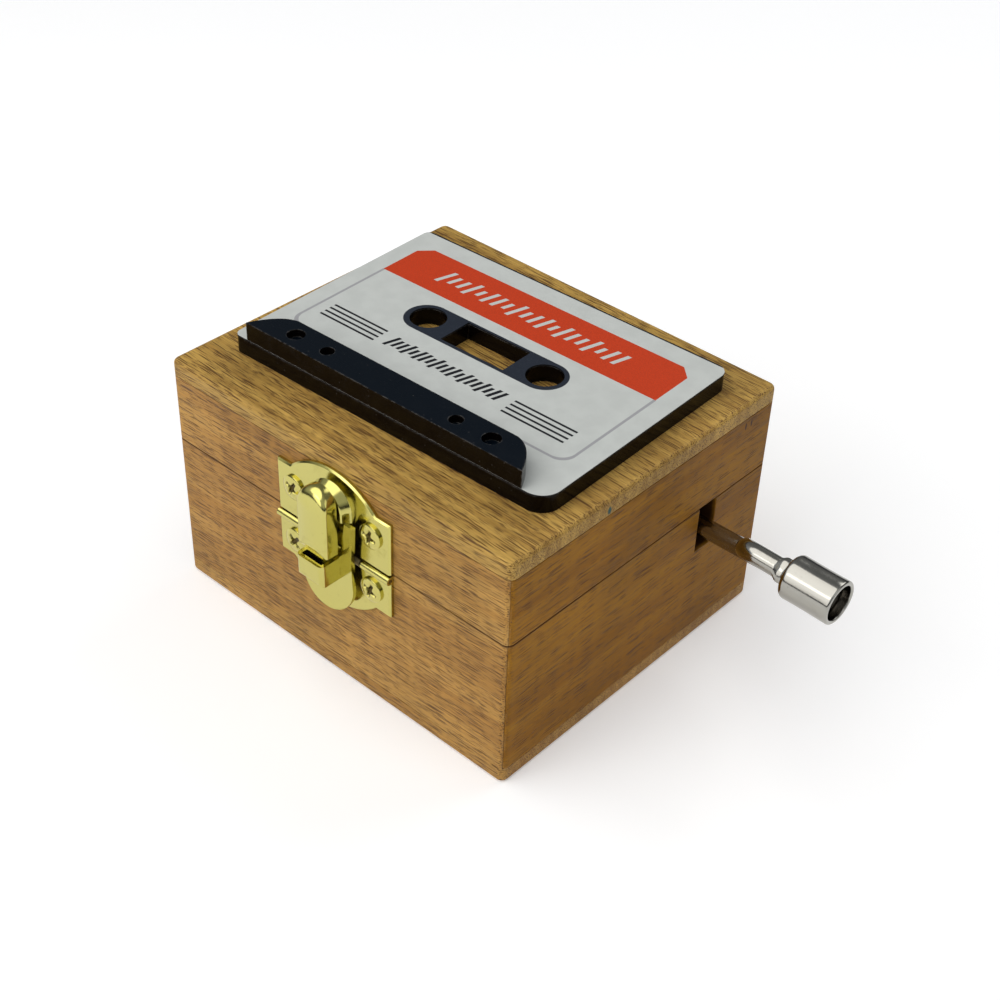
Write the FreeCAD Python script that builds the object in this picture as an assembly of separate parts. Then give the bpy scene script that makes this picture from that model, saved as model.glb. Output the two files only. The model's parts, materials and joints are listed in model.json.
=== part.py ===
import FreeCAD, Part
import math
import os

# Hand-cranked music box: a small hinged wooden case with a cassette-shaped
# badge on its lid, a sprung brass catch at the front, and an 18-note movement
# inside that is turned by a bent crank through the right-hand wall.
# Millimetres.  +Z is up, the catch is on the -Y side and the crank on the +X
# side.  The origin is the centre of the underside.

V = FreeCAD.Vector
X_AXIS = V(1, 0, 0)
Y_AXIS = V(0, 1, 0)
Z_AXIS = V(0, 0, 1)

# ---------------------------------------------------------------- case
case_width = 64.0            # along X
case_depth = 55.0            # along Y
case_height = 38.0           # underside to lid top, badge not included
wall = 5.0                   # side wall thickness
bottom_thickness = 2.6
top_thickness = 2.6
seam_height = 24.6           # top edge of the base walls
seam_gap = 0.12              # open line between base and lid
corner_radius = 1.1          # upright corners
edge_radius = 0.7            # outer edges of the top and bottom panels

# ---------------------------------------------------------------- crank and its notch
crank_y = 13.8               # crank axis, from the case centre
crank_z = 20.3               # crank axis, above the underside
notch_width = 3.8
notch_below = 3.4            # notch floor below the crank axis
rod_radius = 1.4
bend_radius = 3.0            # centre line of both bends
shaft_reach = 13.0           # wall face to the arm's centre line
arm_length = 16.5            # shaft centre line to handle centre line
arm_angle = 43.8             # degrees above level, leaning to the front
handle_length = 14.3         # arm centre line to the end of the rod
handle_lean = 1.5            # degrees: the handle leans a little to the front and down
shaft_inner_end = -1.2       # inner end of the shaft along X
running_fit = 0.05           # radial clearance of turning fits

# ---------------------------------------------------------------- crank knob
knob_start = 8.0             # arm centre line to the knob's inner end
knob_length = 7.5
knob_radius = 3.1
knob_round = 0.7             # inner end
knob_rim_round = 0.3         # outer rim
knob_cup_radius = 2.45       # open cup in the knob's outer end
knob_cup_depth = 2.2
rivet_radius = 2.0           # spread end of the rod inside the cup
rivet_thickness = 0.6
ear_gap = 0.35               # knob's inner end to the pressed ears
ear_length = 1.3
ear_width = 3.5
ear_thickness = 1.0
ear_round = 0.5

# ---------------------------------------------------------------- movement
bed_thickness = 2.6
bed_gap_left = 5.5           # bedplate edge to the inside of the case
bed_gap_right = 3.0
bed_gap_front = 6.5
bed_gap_back = 2.5
bed_corner = 2.0
bed_window_side = 1.2        # wheel to the window's long edges
bed_window_front = 0.4       # window's front edge behind the barrel's end
bed_window_back = 0.8        # wheel to the window's back edge
cylinder_x = 10.0            # cylinder axis runs along Y
wheel_teeth = 16
wheel_pitch_radius = 6.2
worm_pitch_radius = 2.2
tooth_height = 0.5           # above and below the pitch line
worm_thread_width = 0.6      # at the pitch line
wheel_tooth_width = 0.65     # at the pitch line
wheel_thickness = 1.6
tooth_flank = 0.12           # each flank's lean at the tip
tooth_foot_flare = 0.2       # each flank's lean at the root
tooth_root_gap = 0.25        # extra depth under the worm's thread
tooth_sink = 0.3             # tooth foot inside the wheel's disc
hub_radius = 2.4
hub_length = 1.0
worm_turns = 4
worm_core_radius = 1.75
thread_sink = 0.15           # thread foot inside the worm's core
mesh_clearance = 0.15        # wheel tooth tips to the worm's core
barrel_radius = 5.6
barrel_front = -9.8          # end of the barrel along Y
barrel_back = 12.2
pin_height = 0.45
pin_radius = 0.2
pin_sink = 0.25
pins_per_row = 5
row_turn = 47.0              # degrees from one tine's pins to the next tine's
pin_turn = 19.0              # degrees that break up the even spacing
axle_radius = 1.0
axle_end = 0.8               # axle beyond its bearings
comb_teeth = 18
comb_pitch = 1.08
comb_slot = 0.3
comb_thickness = 1.0
tine_thickness = 0.55
comb_gap = 0.2               # tine tips to the pins
tine_length = 14.0
comb_plate_length = 8.0
comb_margin = 0.8            # plate beyond the outer tines
comb_offset = -0.6           # comb centre from the barrel's middle
comb_root_overlap = 0.5      # tine foot inside the plate
comb_screw_back = 0.45       # share of the plate's length
comb_screw_side = 0.66       # share of half the row of tines
shelf_inset = 0.4            # bedplate's shelf short of the plate's edge
weighted_tines = 8
weight_longest = 2.6
weight_step = 0.25           # each next weight is this much shorter
weight_length = 3.2
weight_setback = 1.0         # tine tip to the weight
bracket_thickness = 2.0
bracket_width = 5.2
bracket_above = 2.8          # bracket top above the axis it carries
bracket_foot = 4.0
bracket_foot_thickness = 1.4
bracket_round = 0.45         # share of the width
bearing_inset = 3.6          # wall to the outer crank bearing
bracket_clear = 0.5          # bracket face to a turning part
collar_radius = 2.7
collar_length = 1.8

# ---------------------------------------------------------------- badge
badge_width = 56.0
badge_depth = 40.0
badge_thickness = 2.6
badge_corner = 1.1
badge_front_corner = 3.0     # the two right ones are cut rounder
badge_back_corner = 2.0
badge_turn = 1.8             # degrees: it is glued on slightly turned
badge_centre = (0.1, 1.1)
face_thickness = 0.2         # printed sheet on the plate
bar_front_half = 24.8
bar_back_half = 20.6
bar_depth = 5.2
bar_thickness = 2.8
bar_centre = -0.6            # along the badge's own X
bar_end_shape = ((0.0, 0.0), (0.40, 0.55), (0.83, 0.88), (1.2, 1.0))  # shares inwards, backwards
bar_hole_y = -17.4
bar_holes = ((17.6, 1.3), (11.6, 1.0))
bar_hole_depth = 1.2
hub_hole_radius = 2.7
hub_hole_spacing = 21.4
window_width = 11.4
window_depth = 5.9
window_y = 1.5               # hub holes and window, along the badge's own Y
window_x = -0.4

# ---------------------------------------------------------------- catch
catch_x = 1.1
plate_thickness = 0.7
plate_half_width = 10.7
plate_arch_half = 8.1
lid_plate_ear_height = 8.4
base_plate_ear_height = 7.1
arch_rise = 3.4
plate_bevel = 0.25
roll_radius = 0.62           # rolled top edge of the base plate
catch_pin_radius = 0.3
roll_half_gap = 5.6          # the roll is cut away this far each side of centre
lever_knuckle_half = 1.6
lever_back = 1.3             # lever's back face from the case front
lever_thickness = 0.6
lever_top = 6.0              # above the seam
lever_bottom = 10.3          # below the seam
lever_top_half = 5.5
lever_waist_half = 4.7
tab_radius = 5.0
lever_curl = 0.5             # how far both ends lean outwards
lever_waist_drop = 1.5       # waist below the middle of the edge
lever_lean = ((1.0, 0.9), (0.55, 0.2), (-0.1, 0.0), (-0.48, 0.15), (-1.0, 1.0))  # height share, curl share
hook_half_width = 2.75
hook_back = 2.3
hook_front = 4.8
hook_top = 10.6              # above the seam
hook_round = 0.8
hook_fit = 0.1
hook_foot_half = 1.8         # the foot is narrower than the face
hook_foot_front = 4.2        # the foot stands back from the hook's face
hook_heel = 0.4              # lower end of that face, above the seam
slot_straight = 2.0          # the slot widens from here up to the lever's top
slot_top_half = 4.0
channel_wall = 0.6
channel_top = 0.7            # below the seam
channel_height = 3.6
channel_gap = 0.5            # hook to the channel's front wall
channel_round = 0.84         # front corners of the channel
boss_base_half = 3.8
boss_front_half = 3.0
boss_height = 1.3            # out of the lid plate
boss_top = 10.1              # above the seam
boss_bottom = 5.0
boss_taper = 0.7
spring_wire_radius = 0.12
spring_end_gap = 0.1         # spring to the roll
spring_overlap = 0.02        # share of the wire by which coils touch

# ---------------------------------------------------------------- screws
catch_screw_half_spacing = 7.35
catch_screw_lid_height = 5.1     # above the seam
catch_screw_base_height = 4.0    # below the seam
catch_head_radius = 1.9
catch_head_height = 0.6
catch_shank_radius = 0.8
catch_screw_length = 4.6
hinge_head_radius = 1.2
hinge_head_height = 0.5
hinge_shank_radius = 0.55
hinge_screw_length = 4.0
bed_head_radius = 1.9
bed_head_height = 1.0
bed_shank_radius = 0.9
bed_screw_length = 4.4
bed_screw_inset = 3.7        # from the bedplate's edges
small_head_radius = 1.4
small_head_height = 0.8
small_shank_radius = 0.7
small_screw_length = 3.2

# ---------------------------------------------------------------- hinges
hinge_spacing = 34.0
hinge_width = 13.0
leaf_thickness = 0.6
leaf_height = 7.4
barrel_knuckle_radius = 1.15
hinge_pin_radius = 0.45
hinge_standoff = 0.1         # barrel to the case's back face
knuckle_gap = 0.15
hinge_screw_half_spacing = 4.2

# ---------------------------------------------------------------- shared
past = 3.0                   # how far a cutting tool runs past the piece
slack = 0.2                  # open room round a piece that only passes by
head_sink = 0.1              # bed screws' heads above the underside
recess_arm = 0.62            # cross recess: shares of the head's radius
recess_width = 0.3
recess_depth = 0.7           # share of the head's height
head_rim = 0.35              # share of the head's height below its dome

# ---------------------------------------------------------------- worked out
front_face = -case_depth / 2
back_face = case_depth / 2
right_face = case_width / 2
lid_bottom = seam_height + seam_gap
lid_rail_top = case_height - top_thickness
bed_top = bottom_thickness + bed_thickness
cylinder_z = crank_z - wheel_pitch_radius - worm_pitch_radius
worm_lead = 2 * math.pi * wheel_pitch_radius / wheel_teeth
comb_tip_x = cylinder_x - barrel_radius - pin_height - comb_gap
comb_root_x = comb_tip_x - tine_length
comb_centre_y = (barrel_front + barrel_back) / 2 + comb_offset
comb_half = comb_teeth * comb_pitch / 2
hinge_axis_y = back_face + hinge_standoff + barrel_knuckle_radius
hinge_axis_z = seam_height + seam_gap / 2
knuckle_bore = hinge_pin_radius + running_fit
bed_left = -right_face + wall + bed_gap_left
bed_right = right_face - wall - bed_gap_right
bed_front = front_face + wall + bed_gap_front
bed_back = back_face - wall - bed_gap_back
bed_screw_spots = ((bed_left + bed_screw_inset, bed_front + bed_screw_inset),
                   (bed_right - bed_screw_inset, bed_front + bed_screw_inset),
                   (bed_left + bed_screw_inset, bed_back - bed_screw_inset))
bearing_x_outer = right_face - wall - bearing_inset
bearing_x_inner = cylinder_x - wheel_pitch_radius - tooth_height - bracket_clear
wheel_back = crank_y + wheel_thickness / 2 + hub_length
arm_direction = V(0, -math.cos(math.radians(arm_angle)), math.sin(math.radians(arm_angle)))
elbow = V(right_face + shaft_reach, crank_y, crank_z)
handle_corner = elbow + arm_direction * arm_length
handle_turn = FreeCAD.Rotation(arm_direction, -handle_lean)
handle_direction = handle_turn.multVec(X_AXIS)
catch_axis_y = front_face - roll_radius
catch_axis_z = seam_height - seam_gap - roll_radius

os.makedirs("parts", exist_ok=True)


# ---------------------------------------------------------------- helpers
def save(name, shape):
    """Writes one sub-part, after checking that it is sound."""
    if not shape.isValid():
        raise ValueError("invalid shape: " + name)
    shape.exportStep("parts/" + name + ".step")
    print(name, len(shape.Solids), round(shape.Volume, 2))


def block(x0, x1, y0, y1, z0, z1):
    return Part.makeBox(x1 - x0, y1 - y0, z1 - z0, V(x0, y0, z0))


def rod(start, axis, radius, length):
    return Part.makeCylinder(radius, length, start, axis)


def prism(points, direction):
    """Straight-sided outline pushed along a direction."""
    wire = Part.makePolygon(points + [points[0]])
    return Part.Face(wire).extrude(direction)


def rounded_slab(x0, x1, y0, y1, z0, z1, radius):
    """Slab with four rounded upright corners."""
    slab = block(x0, x1, y0, y1, z0, z1)
    upright = [e for e in slab.Edges if abs(e.BoundBox.ZLength - (z1 - z0)) < 1e-6]
    return slab.makeFillet(radius, upright)


def round_rim(shape, level, radius):
    """Rounds the outer edges that lie in the plane z = level."""
    rim = [e for e in shape.Edges if e.BoundBox.ZLength < 1e-6 and abs(e.BoundBox.ZMin - level) < 1e-6]
    return shape.makeFillet(radius, rim)


def wall_sector(side, low, high):
    """Mitred region that one wall fills: side is front, back, left or right."""
    w = case_width / 2
    d = case_depth / 2
    outer = (w + past, d + past)
    inner = (w - wall, d - wall)
    corners = {
        "front": [(-1, -1), (1, -1)],
        "right": [(1, -1), (1, 1)],
        "back": [(1, 1), (-1, 1)],
        "left": [(-1, 1), (-1, -1)],
    }[side]
    outline = [V(sx * outer[0], sy * outer[1], low) for sx, sy in corners]
    outline += [V(sx * inner[0], sy * inner[1], low) for sx, sy in reversed(corners)]
    return prism(outline, V(0, 0, high - low))


def wooden_wall(side, low, high):
    w = case_width / 2
    d = case_depth / 2
    ring = rounded_slab(-w, w, -d, d, low, high, corner_radius)
    return ring.common(wall_sector(side, low, high))


def cross_recess(radius, depth, centre, axis):
    """Cross-shaped driver recess, cut down from the top of a head."""
    arm = radius * recess_arm
    width = radius * recess_width
    long_bar = Part.makeBox(2 * arm, width, depth, V(-arm, -width / 2, -depth))
    cross_bar = Part.makeBox(width, 2 * arm, depth, V(-width / 2, -arm, -depth))
    cross = long_bar.fuse(cross_bar)
    cross.Placement = FreeCAD.Placement(centre, FreeCAD.Rotation(Z_AXIS, axis)).multiply(cross.Placement)
    return cross


def screw(seat, axis, head_radius, head_height, shank_radius, length):
    """Dome-headed screw: seat is under the head, axis points out of the head."""
    rim = head_height * head_rim
    dome = head_height - rim
    sphere_radius = (head_radius ** 2 + dome ** 2) / (2 * dome)
    top = seat + axis * head_height
    head = rod(seat, axis, head_radius, head_height)
    ball = Part.makeSphere(sphere_radius, top - axis * sphere_radius)
    head = head.common(ball)
    shank = rod(seat - axis * length, axis, shank_radius, length)
    body = head.fuse(shank)
    return body.cut(cross_recess(head_radius, head_height * recess_depth, top, axis))


def drilled(shape, spots, axis, radius, length):
    """Cuts the pilot hole for a screw shank at each spot."""
    for spot in spots:
        shape = shape.cut(rod(spot - axis * length, axis, radius, length))
    return shape


# ---------------------------------------------------------------- screw places
out_front = V(0, -1, 0)
out_back = V(0, 1, 0)
plate_front = front_face - plate_thickness
leaf_back = back_face + leaf_thickness


def catch_spots(height, face):
    return [V(catch_x + s * catch_screw_half_spacing, face, seam_height + height) for s in (-1, 1)]


def hinge_spots(height, face):
    spots = []
    for s in (-1, 1):
        for t in (-1, 1):
            x = s * hinge_spacing / 2 + t * hinge_screw_half_spacing
            spots.append(V(x, face, hinge_axis_z + height))
    return spots


leaf_screw_height = (barrel_knuckle_radius + leaf_height) / 2
lid_catch_spots = catch_spots(catch_screw_lid_height, plate_front)
base_catch_spots = catch_spots(-catch_screw_base_height, plate_front)
lid_hinge_spots = hinge_spots(leaf_screw_height, leaf_back)
base_hinge_spots = hinge_spots(-leaf_screw_height, leaf_back)


# ---------------------------------------------------------------- case
def base_case():
    for side in ("front", "back", "left"):
        shape = wooden_wall(side, bottom_thickness, seam_height)
        if side == "front":
            shape = drilled(shape, base_catch_spots, out_front, catch_shank_radius, catch_screw_length)
        if side == "back":
            shape = drilled(shape, base_hinge_spots, out_back, hinge_shank_radius, hinge_screw_length)
        save("base_" + side + "_wall", shape)
    right = wooden_wall("right", bottom_thickness, seam_height)
    notch = block(right_face - wall - past, right_face + past,
                  crank_y - notch_width / 2, crank_y + notch_width / 2,
                  crank_z - notch_below, seam_height + past)
    save("base_right_wall", right.cut(notch))


def bottom_panel():
    w = case_width / 2
    d = case_depth / 2
    panel = rounded_slab(-w, w, -d, d, 0, bottom_thickness, corner_radius)
    panel = round_rim(panel, 0, edge_radius)
    for x, y in bed_screw_spots:
        panel = panel.cut(rod(V(x, y, 0), Z_AXIS, bed_head_radius + running_fit, bed_head_height))
        panel = panel.cut(rod(V(x, y, 0), Z_AXIS, bed_shank_radius, bottom_thickness))
    save("base_bottom_panel", panel)


def lid_case():
    for side in ("front", "back", "left", "right"):
        shape = wooden_wall(side, lid_bottom, lid_rail_top)
        if side == "front":
            shape = drilled(shape, lid_catch_spots, out_front, catch_shank_radius, catch_screw_length)
        if side == "back":
            shape = drilled(shape, lid_hinge_spots, out_back, hinge_shank_radius, hinge_screw_length)
        save("lid_" + side + "_rail", shape)
    w = case_width / 2
    d = case_depth / 2
    panel = rounded_slab(-w, w, -d, d, lid_rail_top, case_height, corner_radius)
    save("lid_top_panel", round_rim(panel, case_height, edge_radius))


# ---------------------------------------------------------------- badge
def on_lid(shape):
    """Turns a badge piece, made around its own centre, and sets it on the lid."""
    shape.rotate(V(0, 0, 0), Z_AXIS, badge_turn)
    shape.translate(V(badge_centre[0], badge_centre[1], case_height))
    return shape


def badge_slab(low, high):
    """Cassette outline with its two hub holes and its window cut through."""
    w = badge_width / 2
    d = badge_depth / 2
    slab = block(-w, w, -d, d, low, high)
    corners = ((1, -1, badge_front_corner), (1, 1, badge_back_corner),
               (-1, -1, badge_corner), (-1, 1, badge_corner))
    for right, back, radius in corners:
        sharp = [e for e in slab.Edges if abs(e.BoundBox.ZLength - (high - low)) < 1e-6
                 and abs(e.CenterOfMass.x - right * w) < 1e-6 and abs(e.CenterOfMass.y - back * d) < 1e-6]
        slab = slab.makeFillet(radius, sharp)
    for s in (-1, 1):
        centre = V(window_x + s * hub_hole_spacing / 2, window_y, low)
        slab = slab.cut(rod(centre, Z_AXIS, hub_hole_radius, high - low))
    window = block(window_x - window_width / 2, window_x + window_width / 2,
                   window_y - window_depth / 2, window_y + window_depth / 2, low, high)
    return slab.cut(window)


def bar_outline(level):
    """Trapezoid bar whose ends sweep in a shallow S from front to back."""
    front = -badge_depth / 2
    spread = bar_front_half - bar_back_half
    ends = []
    for s in (-1, 1):
        points = [V(bar_centre + s * (bar_front_half - inward * spread), front + backward * bar_depth, level)
                  for inward, backward in bar_end_shape]
        curve = Part.BSplineCurve()
        curve.interpolate(points)
        ends.append((points[0], points[-1], curve.toShape()))
    (left_foot, left_top, left_end), (right_foot, right_top, right_end) = ends
    front_edge = Part.makeLine(left_foot, right_foot)
    back_edge = Part.makeLine(right_top, left_top)
    return Part.Wire(Part.__sortEdges__([front_edge, right_end, back_edge, left_end]))


def badge():
    face_low = badge_thickness
    face_high = badge_thickness + face_thickness
    save("cassette_plate", on_lid(badge_slab(0, face_low)))
    save("cassette_face", on_lid(badge_slab(face_low, face_high)))
    bar = Part.Face(bar_outline(face_high)).extrude(V(0, 0, bar_thickness))
    for offset, radius in bar_holes:
        for s in (-1, 1):
            spot = V(bar_centre + s * offset, bar_hole_y, face_high + bar_thickness - bar_hole_depth)
            bar = bar.cut(rod(spot, Z_AXIS, radius, bar_hole_depth))
    save("cassette_bar", on_lid(bar))


# ---------------------------------------------------------------- catch
def catch_point(x, out, above):
    """Point of the catch: across, out of the case front, above the seam."""
    return V(catch_x + x, front_face - out, seam_height + above)


def catch_box(half_width, near, far, low, high):
    """Box centred across the catch, between two distances out of the case and two heights."""
    return block(catch_x - half_width, catch_x + half_width, front_face - far, front_face - near,
                 seam_height + low, seam_height + high)


def arched_plate(direction, ear_height, near_seam):
    """Plate with two square ears and an arched middle; direction is +1 for up."""
    edge = near_seam * direction
    ear = ear_height * direction
    peak = (ear_height + arch_rise) * direction
    p = [catch_point(-plate_half_width, 0, edge), catch_point(plate_half_width, 0, edge),
         catch_point(plate_half_width, 0, ear), catch_point(plate_arch_half, 0, ear),
         catch_point(-plate_arch_half, 0, ear), catch_point(-plate_half_width, 0, ear)]
    arch = Part.Arc(p[3], catch_point(0, 0, peak), p[4]).toShape()
    edges = [Part.makeLine(p[0], p[1]), Part.makeLine(p[1], p[2]), Part.makeLine(p[2], p[3]), arch,
             Part.makeLine(p[4], p[5]), Part.makeLine(p[5], p[0])]
    plate = Part.Face(Part.Wire(edges)).extrude(out_front * plate_thickness)
    rim = [e for e in plate.Edges if e.BoundBox.YLength < 1e-6 and abs(e.BoundBox.YMin - plate_front) < 1e-6
           and abs(e.CenterOfMass.z - (seam_height + edge)) > 1e-6]
    return plate.makeChamfer(plate_bevel, rim)


def tombstone(half_width, bottom, top, out):
    """Closed outline with a flat foot, straight sides and a round head."""
    shoulder = top - half_width
    a = catch_point(-half_width, out, bottom)
    b = catch_point(half_width, out, bottom)
    c = catch_point(half_width, out, shoulder)
    d = catch_point(-half_width, out, shoulder)
    head = Part.Arc(c, catch_point(0, out, top), d).toShape()
    return Part.Wire([Part.makeLine(a, b), Part.makeLine(b, c), head, Part.makeLine(d, a)])


def catch_lid_plate():
    plate = arched_plate(1, lid_plate_ear_height, seam_gap + running_fit)
    foot = tombstone(boss_base_half, boss_bottom, boss_top, plate_thickness)
    crown = tombstone(boss_front_half, boss_bottom + boss_taper / 2, boss_top - boss_taper,
                      plate_thickness + boss_height)
    boss = Part.makeLoft([foot, crown], True, True)
    plate = plate.fuse(boss).removeSplitter()
    plate = drilled(plate, lid_catch_spots, out_front, catch_shank_radius, plate_thickness)
    save("latch_lid_plate", plate)


def catch_base_plate():
    plate = arched_plate(-1, base_plate_ear_height, seam_gap)
    axis_start = V(catch_x - plate_half_width, catch_axis_y, catch_axis_z)
    roll = rod(axis_start, X_AXIS, roll_radius, 2 * plate_half_width)
    reach = 2 * roll_radius + slack
    opening = catch_box(roll_half_gap, plate_thickness, reach, -reach - seam_gap, slack)
    swing_room = rod(V(catch_x - roll_half_gap, catch_axis_y, catch_axis_z), X_AXIS,
                     roll_radius + slack, 2 * roll_half_gap)
    plate = plate.fuse(roll).cut(opening).cut(swing_room)
    plate = plate.cut(rod(axis_start, X_AXIS, catch_pin_radius, 2 * plate_half_width))
    plate = drilled(plate, base_catch_spots, out_front, catch_shank_radius, plate_thickness)
    save("latch_base_plate", plate)


def lever_side_profile():
    """Strip of constant thickness whose two ends lean outwards."""
    edges = []
    ends = []
    for skin in (0.0, lever_thickness):
        points = []
        for height, lean in lever_lean:
            above = height * (lever_top if height > 0 else lever_bottom)
            points.append(catch_point(-tab_radius * 2, lever_back + skin + lean * lever_curl, above))
        curve = Part.BSplineCurve()
        curve.interpolate(points)
        edges.append(curve.toShape())
        ends.append((points[0], points[-1]))
    (back_top, back_low), (front_top, front_low) = ends
    edges.append(Part.makeLine(back_top, front_top))
    edges.append(Part.makeLine(front_low, back_low))
    return Part.Wire(Part.__sortEdges__(edges))


def lever_outline():
    """Front outline: square top corners, drawn-in waist and a round thumb tab."""
    tab_centre = -lever_bottom + tab_radius
    corners = [catch_point(s * lever_top_half, 0, lever_top) for s in (-1, 1)]
    tab_ends = [catch_point(s * tab_radius, 0, tab_centre) for s in (-1, 1)]
    edges = [Part.makeLine(corners[0], corners[1])]
    for s, corner, tab_end in zip((-1, 1), corners, tab_ends):
        waist = catch_point(s * lever_waist_half, 0, (lever_top + tab_centre) / 2 - lever_waist_drop)
        curve = Part.BSplineCurve()
        curve.interpolate([corner, waist, tab_end])
        edges.append(curve.toShape())
    edges.append(Part.Arc(tab_ends[0], catch_point(0, 0, -lever_bottom), tab_ends[1]).toShape())
    return Part.Wire(Part.__sortEdges__(edges))


def catch_lever():
    """Shaped plate with a raised channel for the hook's foot and a knuckle that turns on the pin."""
    slot_half = hook_half_width + hook_fit
    inner_half = hook_foot_half + hook_fit
    outer_half = inner_half + channel_wall
    inner_front = hook_foot_front + channel_gap
    outer_front = inner_front + channel_wall
    low = -channel_top - channel_height
    axis_height = catch_axis_z - seam_height
    strip = Part.Face(lever_side_profile()).extrude(X_AXIS * (tab_radius * 4))
    outline = Part.Face(lever_outline()).extrude(out_front * (outer_front + past))
    plate = strip.common(outline)
    shell = catch_box(outer_half, lever_back, outer_front, low, -channel_top)
    front_edges = [e for e in shell.Edges if abs(e.CenterOfMass.y - (front_face - outer_front)) < 1e-6
                   and abs(e.CenterOfMass.z - (seam_height - channel_top)) > 1e-6]
    shell = shell.makeFillet(channel_round, front_edges)
    pocket = catch_box(inner_half, 0, inner_front, low + channel_wall, -channel_top)
    half_slot = ((slot_half, -channel_top), (slot_half, slot_straight),
                 (slot_top_half, lever_top), (slot_top_half, lever_top + past))
    right_side = [catch_point(half, 0, above) for half, above in half_slot]
    left_side = [catch_point(-half, 0, above) for half, above in reversed(half_slot)]
    slot = prism(right_side + left_side, out_front * (outer_front + past))
    lever = plate.fuse(shell).cut(pocket).cut(slot)
    # the bridge closes the slot behind the hook and carries the knuckle
    bridge = catch_box(slot_half, lever_back, hook_back,
                       axis_height - roll_radius, axis_height + roll_radius)
    web = catch_box(lever_knuckle_half, roll_radius, lever_back,
                    axis_height - roll_radius / 2, axis_height + roll_radius / 2)
    knuckle_start = V(catch_x - lever_knuckle_half, catch_axis_y, catch_axis_z)
    knuckle = rod(knuckle_start, X_AXIS, roll_radius, 2 * lever_knuckle_half)
    bore = rod(knuckle_start, X_AXIS, catch_pin_radius + running_fit, 2 * lever_knuckle_half)
    lever = lever.fuse([bridge, web, knuckle]).cut(bore)
    save("latch_lever", lever.removeSplitter())


def catch_hook():
    low = -channel_top - channel_height + channel_wall
    outline = tombstone(hook_half_width, hook_heel, hook_top, hook_back)
    hook = Part.Face(outline).extrude(out_front * (hook_front - hook_back))
    front_edges = [e for e in hook.Edges if e.BoundBox.YLength < 1e-6
                   and abs(e.BoundBox.YMin - (front_face - hook_front)) < 1e-6
                   and e.CenterOfMass.z > seam_height + hook_heel + 1e-6]
    hook = hook.makeFillet(hook_round, front_edges)
    foot = catch_box(hook_foot_half, hook_back, hook_foot_front, low, hook_heel)
    save("latch_hook", hook.fuse(foot).removeSplitter())


def catch_pin_and_springs():
    length = 2 * plate_half_width
    start = V(catch_x - plate_half_width, catch_axis_y, catch_axis_z)
    save("latch_pin", rod(start, X_AXIS, catch_pin_radius, length))
    coil_radius = catch_pin_radius + running_fit + spring_wire_radius
    step = 2 * spring_wire_radius * (1 - spring_overlap)
    room = roll_half_gap - spring_end_gap - lever_knuckle_half - knuckle_gap
    coils = []
    for s in (-1, 1):
        rings = []
        for turn in range(int(room / step)):
            x = catch_x + s * (lever_knuckle_half + knuckle_gap + spring_wire_radius + turn * step)
            rings.append(Part.makeTorus(coil_radius, spring_wire_radius,
                                        V(x, catch_axis_y, catch_axis_z), X_AXIS))
        coils.append(rings[0].fuse(rings[1:]))
    save("latch_springs", Part.makeCompound(coils))


def catch_screws():
    for name, spots in (("latch_lid_screws", lid_catch_spots), ("latch_base_screws", base_catch_spots)):
        screws = [screw(spot, out_front, catch_head_radius, catch_head_height, catch_shank_radius,
                        catch_screw_length) for spot in spots]
        save(name, Part.makeCompound(screws))


# ---------------------------------------------------------------- hinges
def hinge_leaf(centre_x, direction, spans):
    """One leaf with its knuckles; direction is +1 for the lid's leaf."""
    x0 = centre_x - hinge_width / 2
    tip = hinge_axis_z + direction * leaf_height
    near = hinge_axis_z + direction * (barrel_knuckle_radius + knuckle_gap)
    low, high = sorted((tip, near))
    leaf = block(x0, x0 + hinge_width, back_face, leaf_back, low, high)
    for start, end in spans:
        low, high = sorted((tip, hinge_axis_z))
        strap = block(x0 + start, x0 + end, back_face + hinge_standoff, leaf_back, low, high)
        knuckle = rod(V(x0 + start, hinge_axis_y, hinge_axis_z), X_AXIS, barrel_knuckle_radius, end - start)
        leaf = leaf.fuse([strap, knuckle])
    return leaf.cut(rod(V(x0, hinge_axis_y, hinge_axis_z), X_AXIS, knuckle_bore, hinge_width))


def hinges():
    third = hinge_width / 3
    outer = [(0, third - knuckle_gap), (2 * third + knuckle_gap, hinge_width)]
    middle = [(third, 2 * third)]
    for side, name in ((-1, "left"), (1, "right")):
        x = side * hinge_spacing / 2
        start_x = x - hinge_width / 2
        base_leaf = drilled(hinge_leaf(x, -1, outer), base_hinge_spots, out_back,
                            hinge_shank_radius, leaf_thickness)
        lid_leaf = drilled(hinge_leaf(x, 1, middle), lid_hinge_spots, out_back,
                           hinge_shank_radius, leaf_thickness)
        save("hinge_" + name + "_base_leaf", base_leaf)
        save("hinge_" + name + "_lid_leaf", lid_leaf)
        pin = rod(V(start_x, hinge_axis_y, hinge_axis_z), X_AXIS, hinge_pin_radius, hinge_width)
        save("hinge_" + name + "_pin", pin)
    for name, spots in (("hinge_lid_screws", lid_hinge_spots), ("hinge_base_screws", base_hinge_spots)):
        screws = [screw(spot, out_back, hinge_head_radius, hinge_head_height, hinge_shank_radius,
                        hinge_screw_length) for spot in spots]
        save(name, Part.makeCompound(screws))


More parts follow.
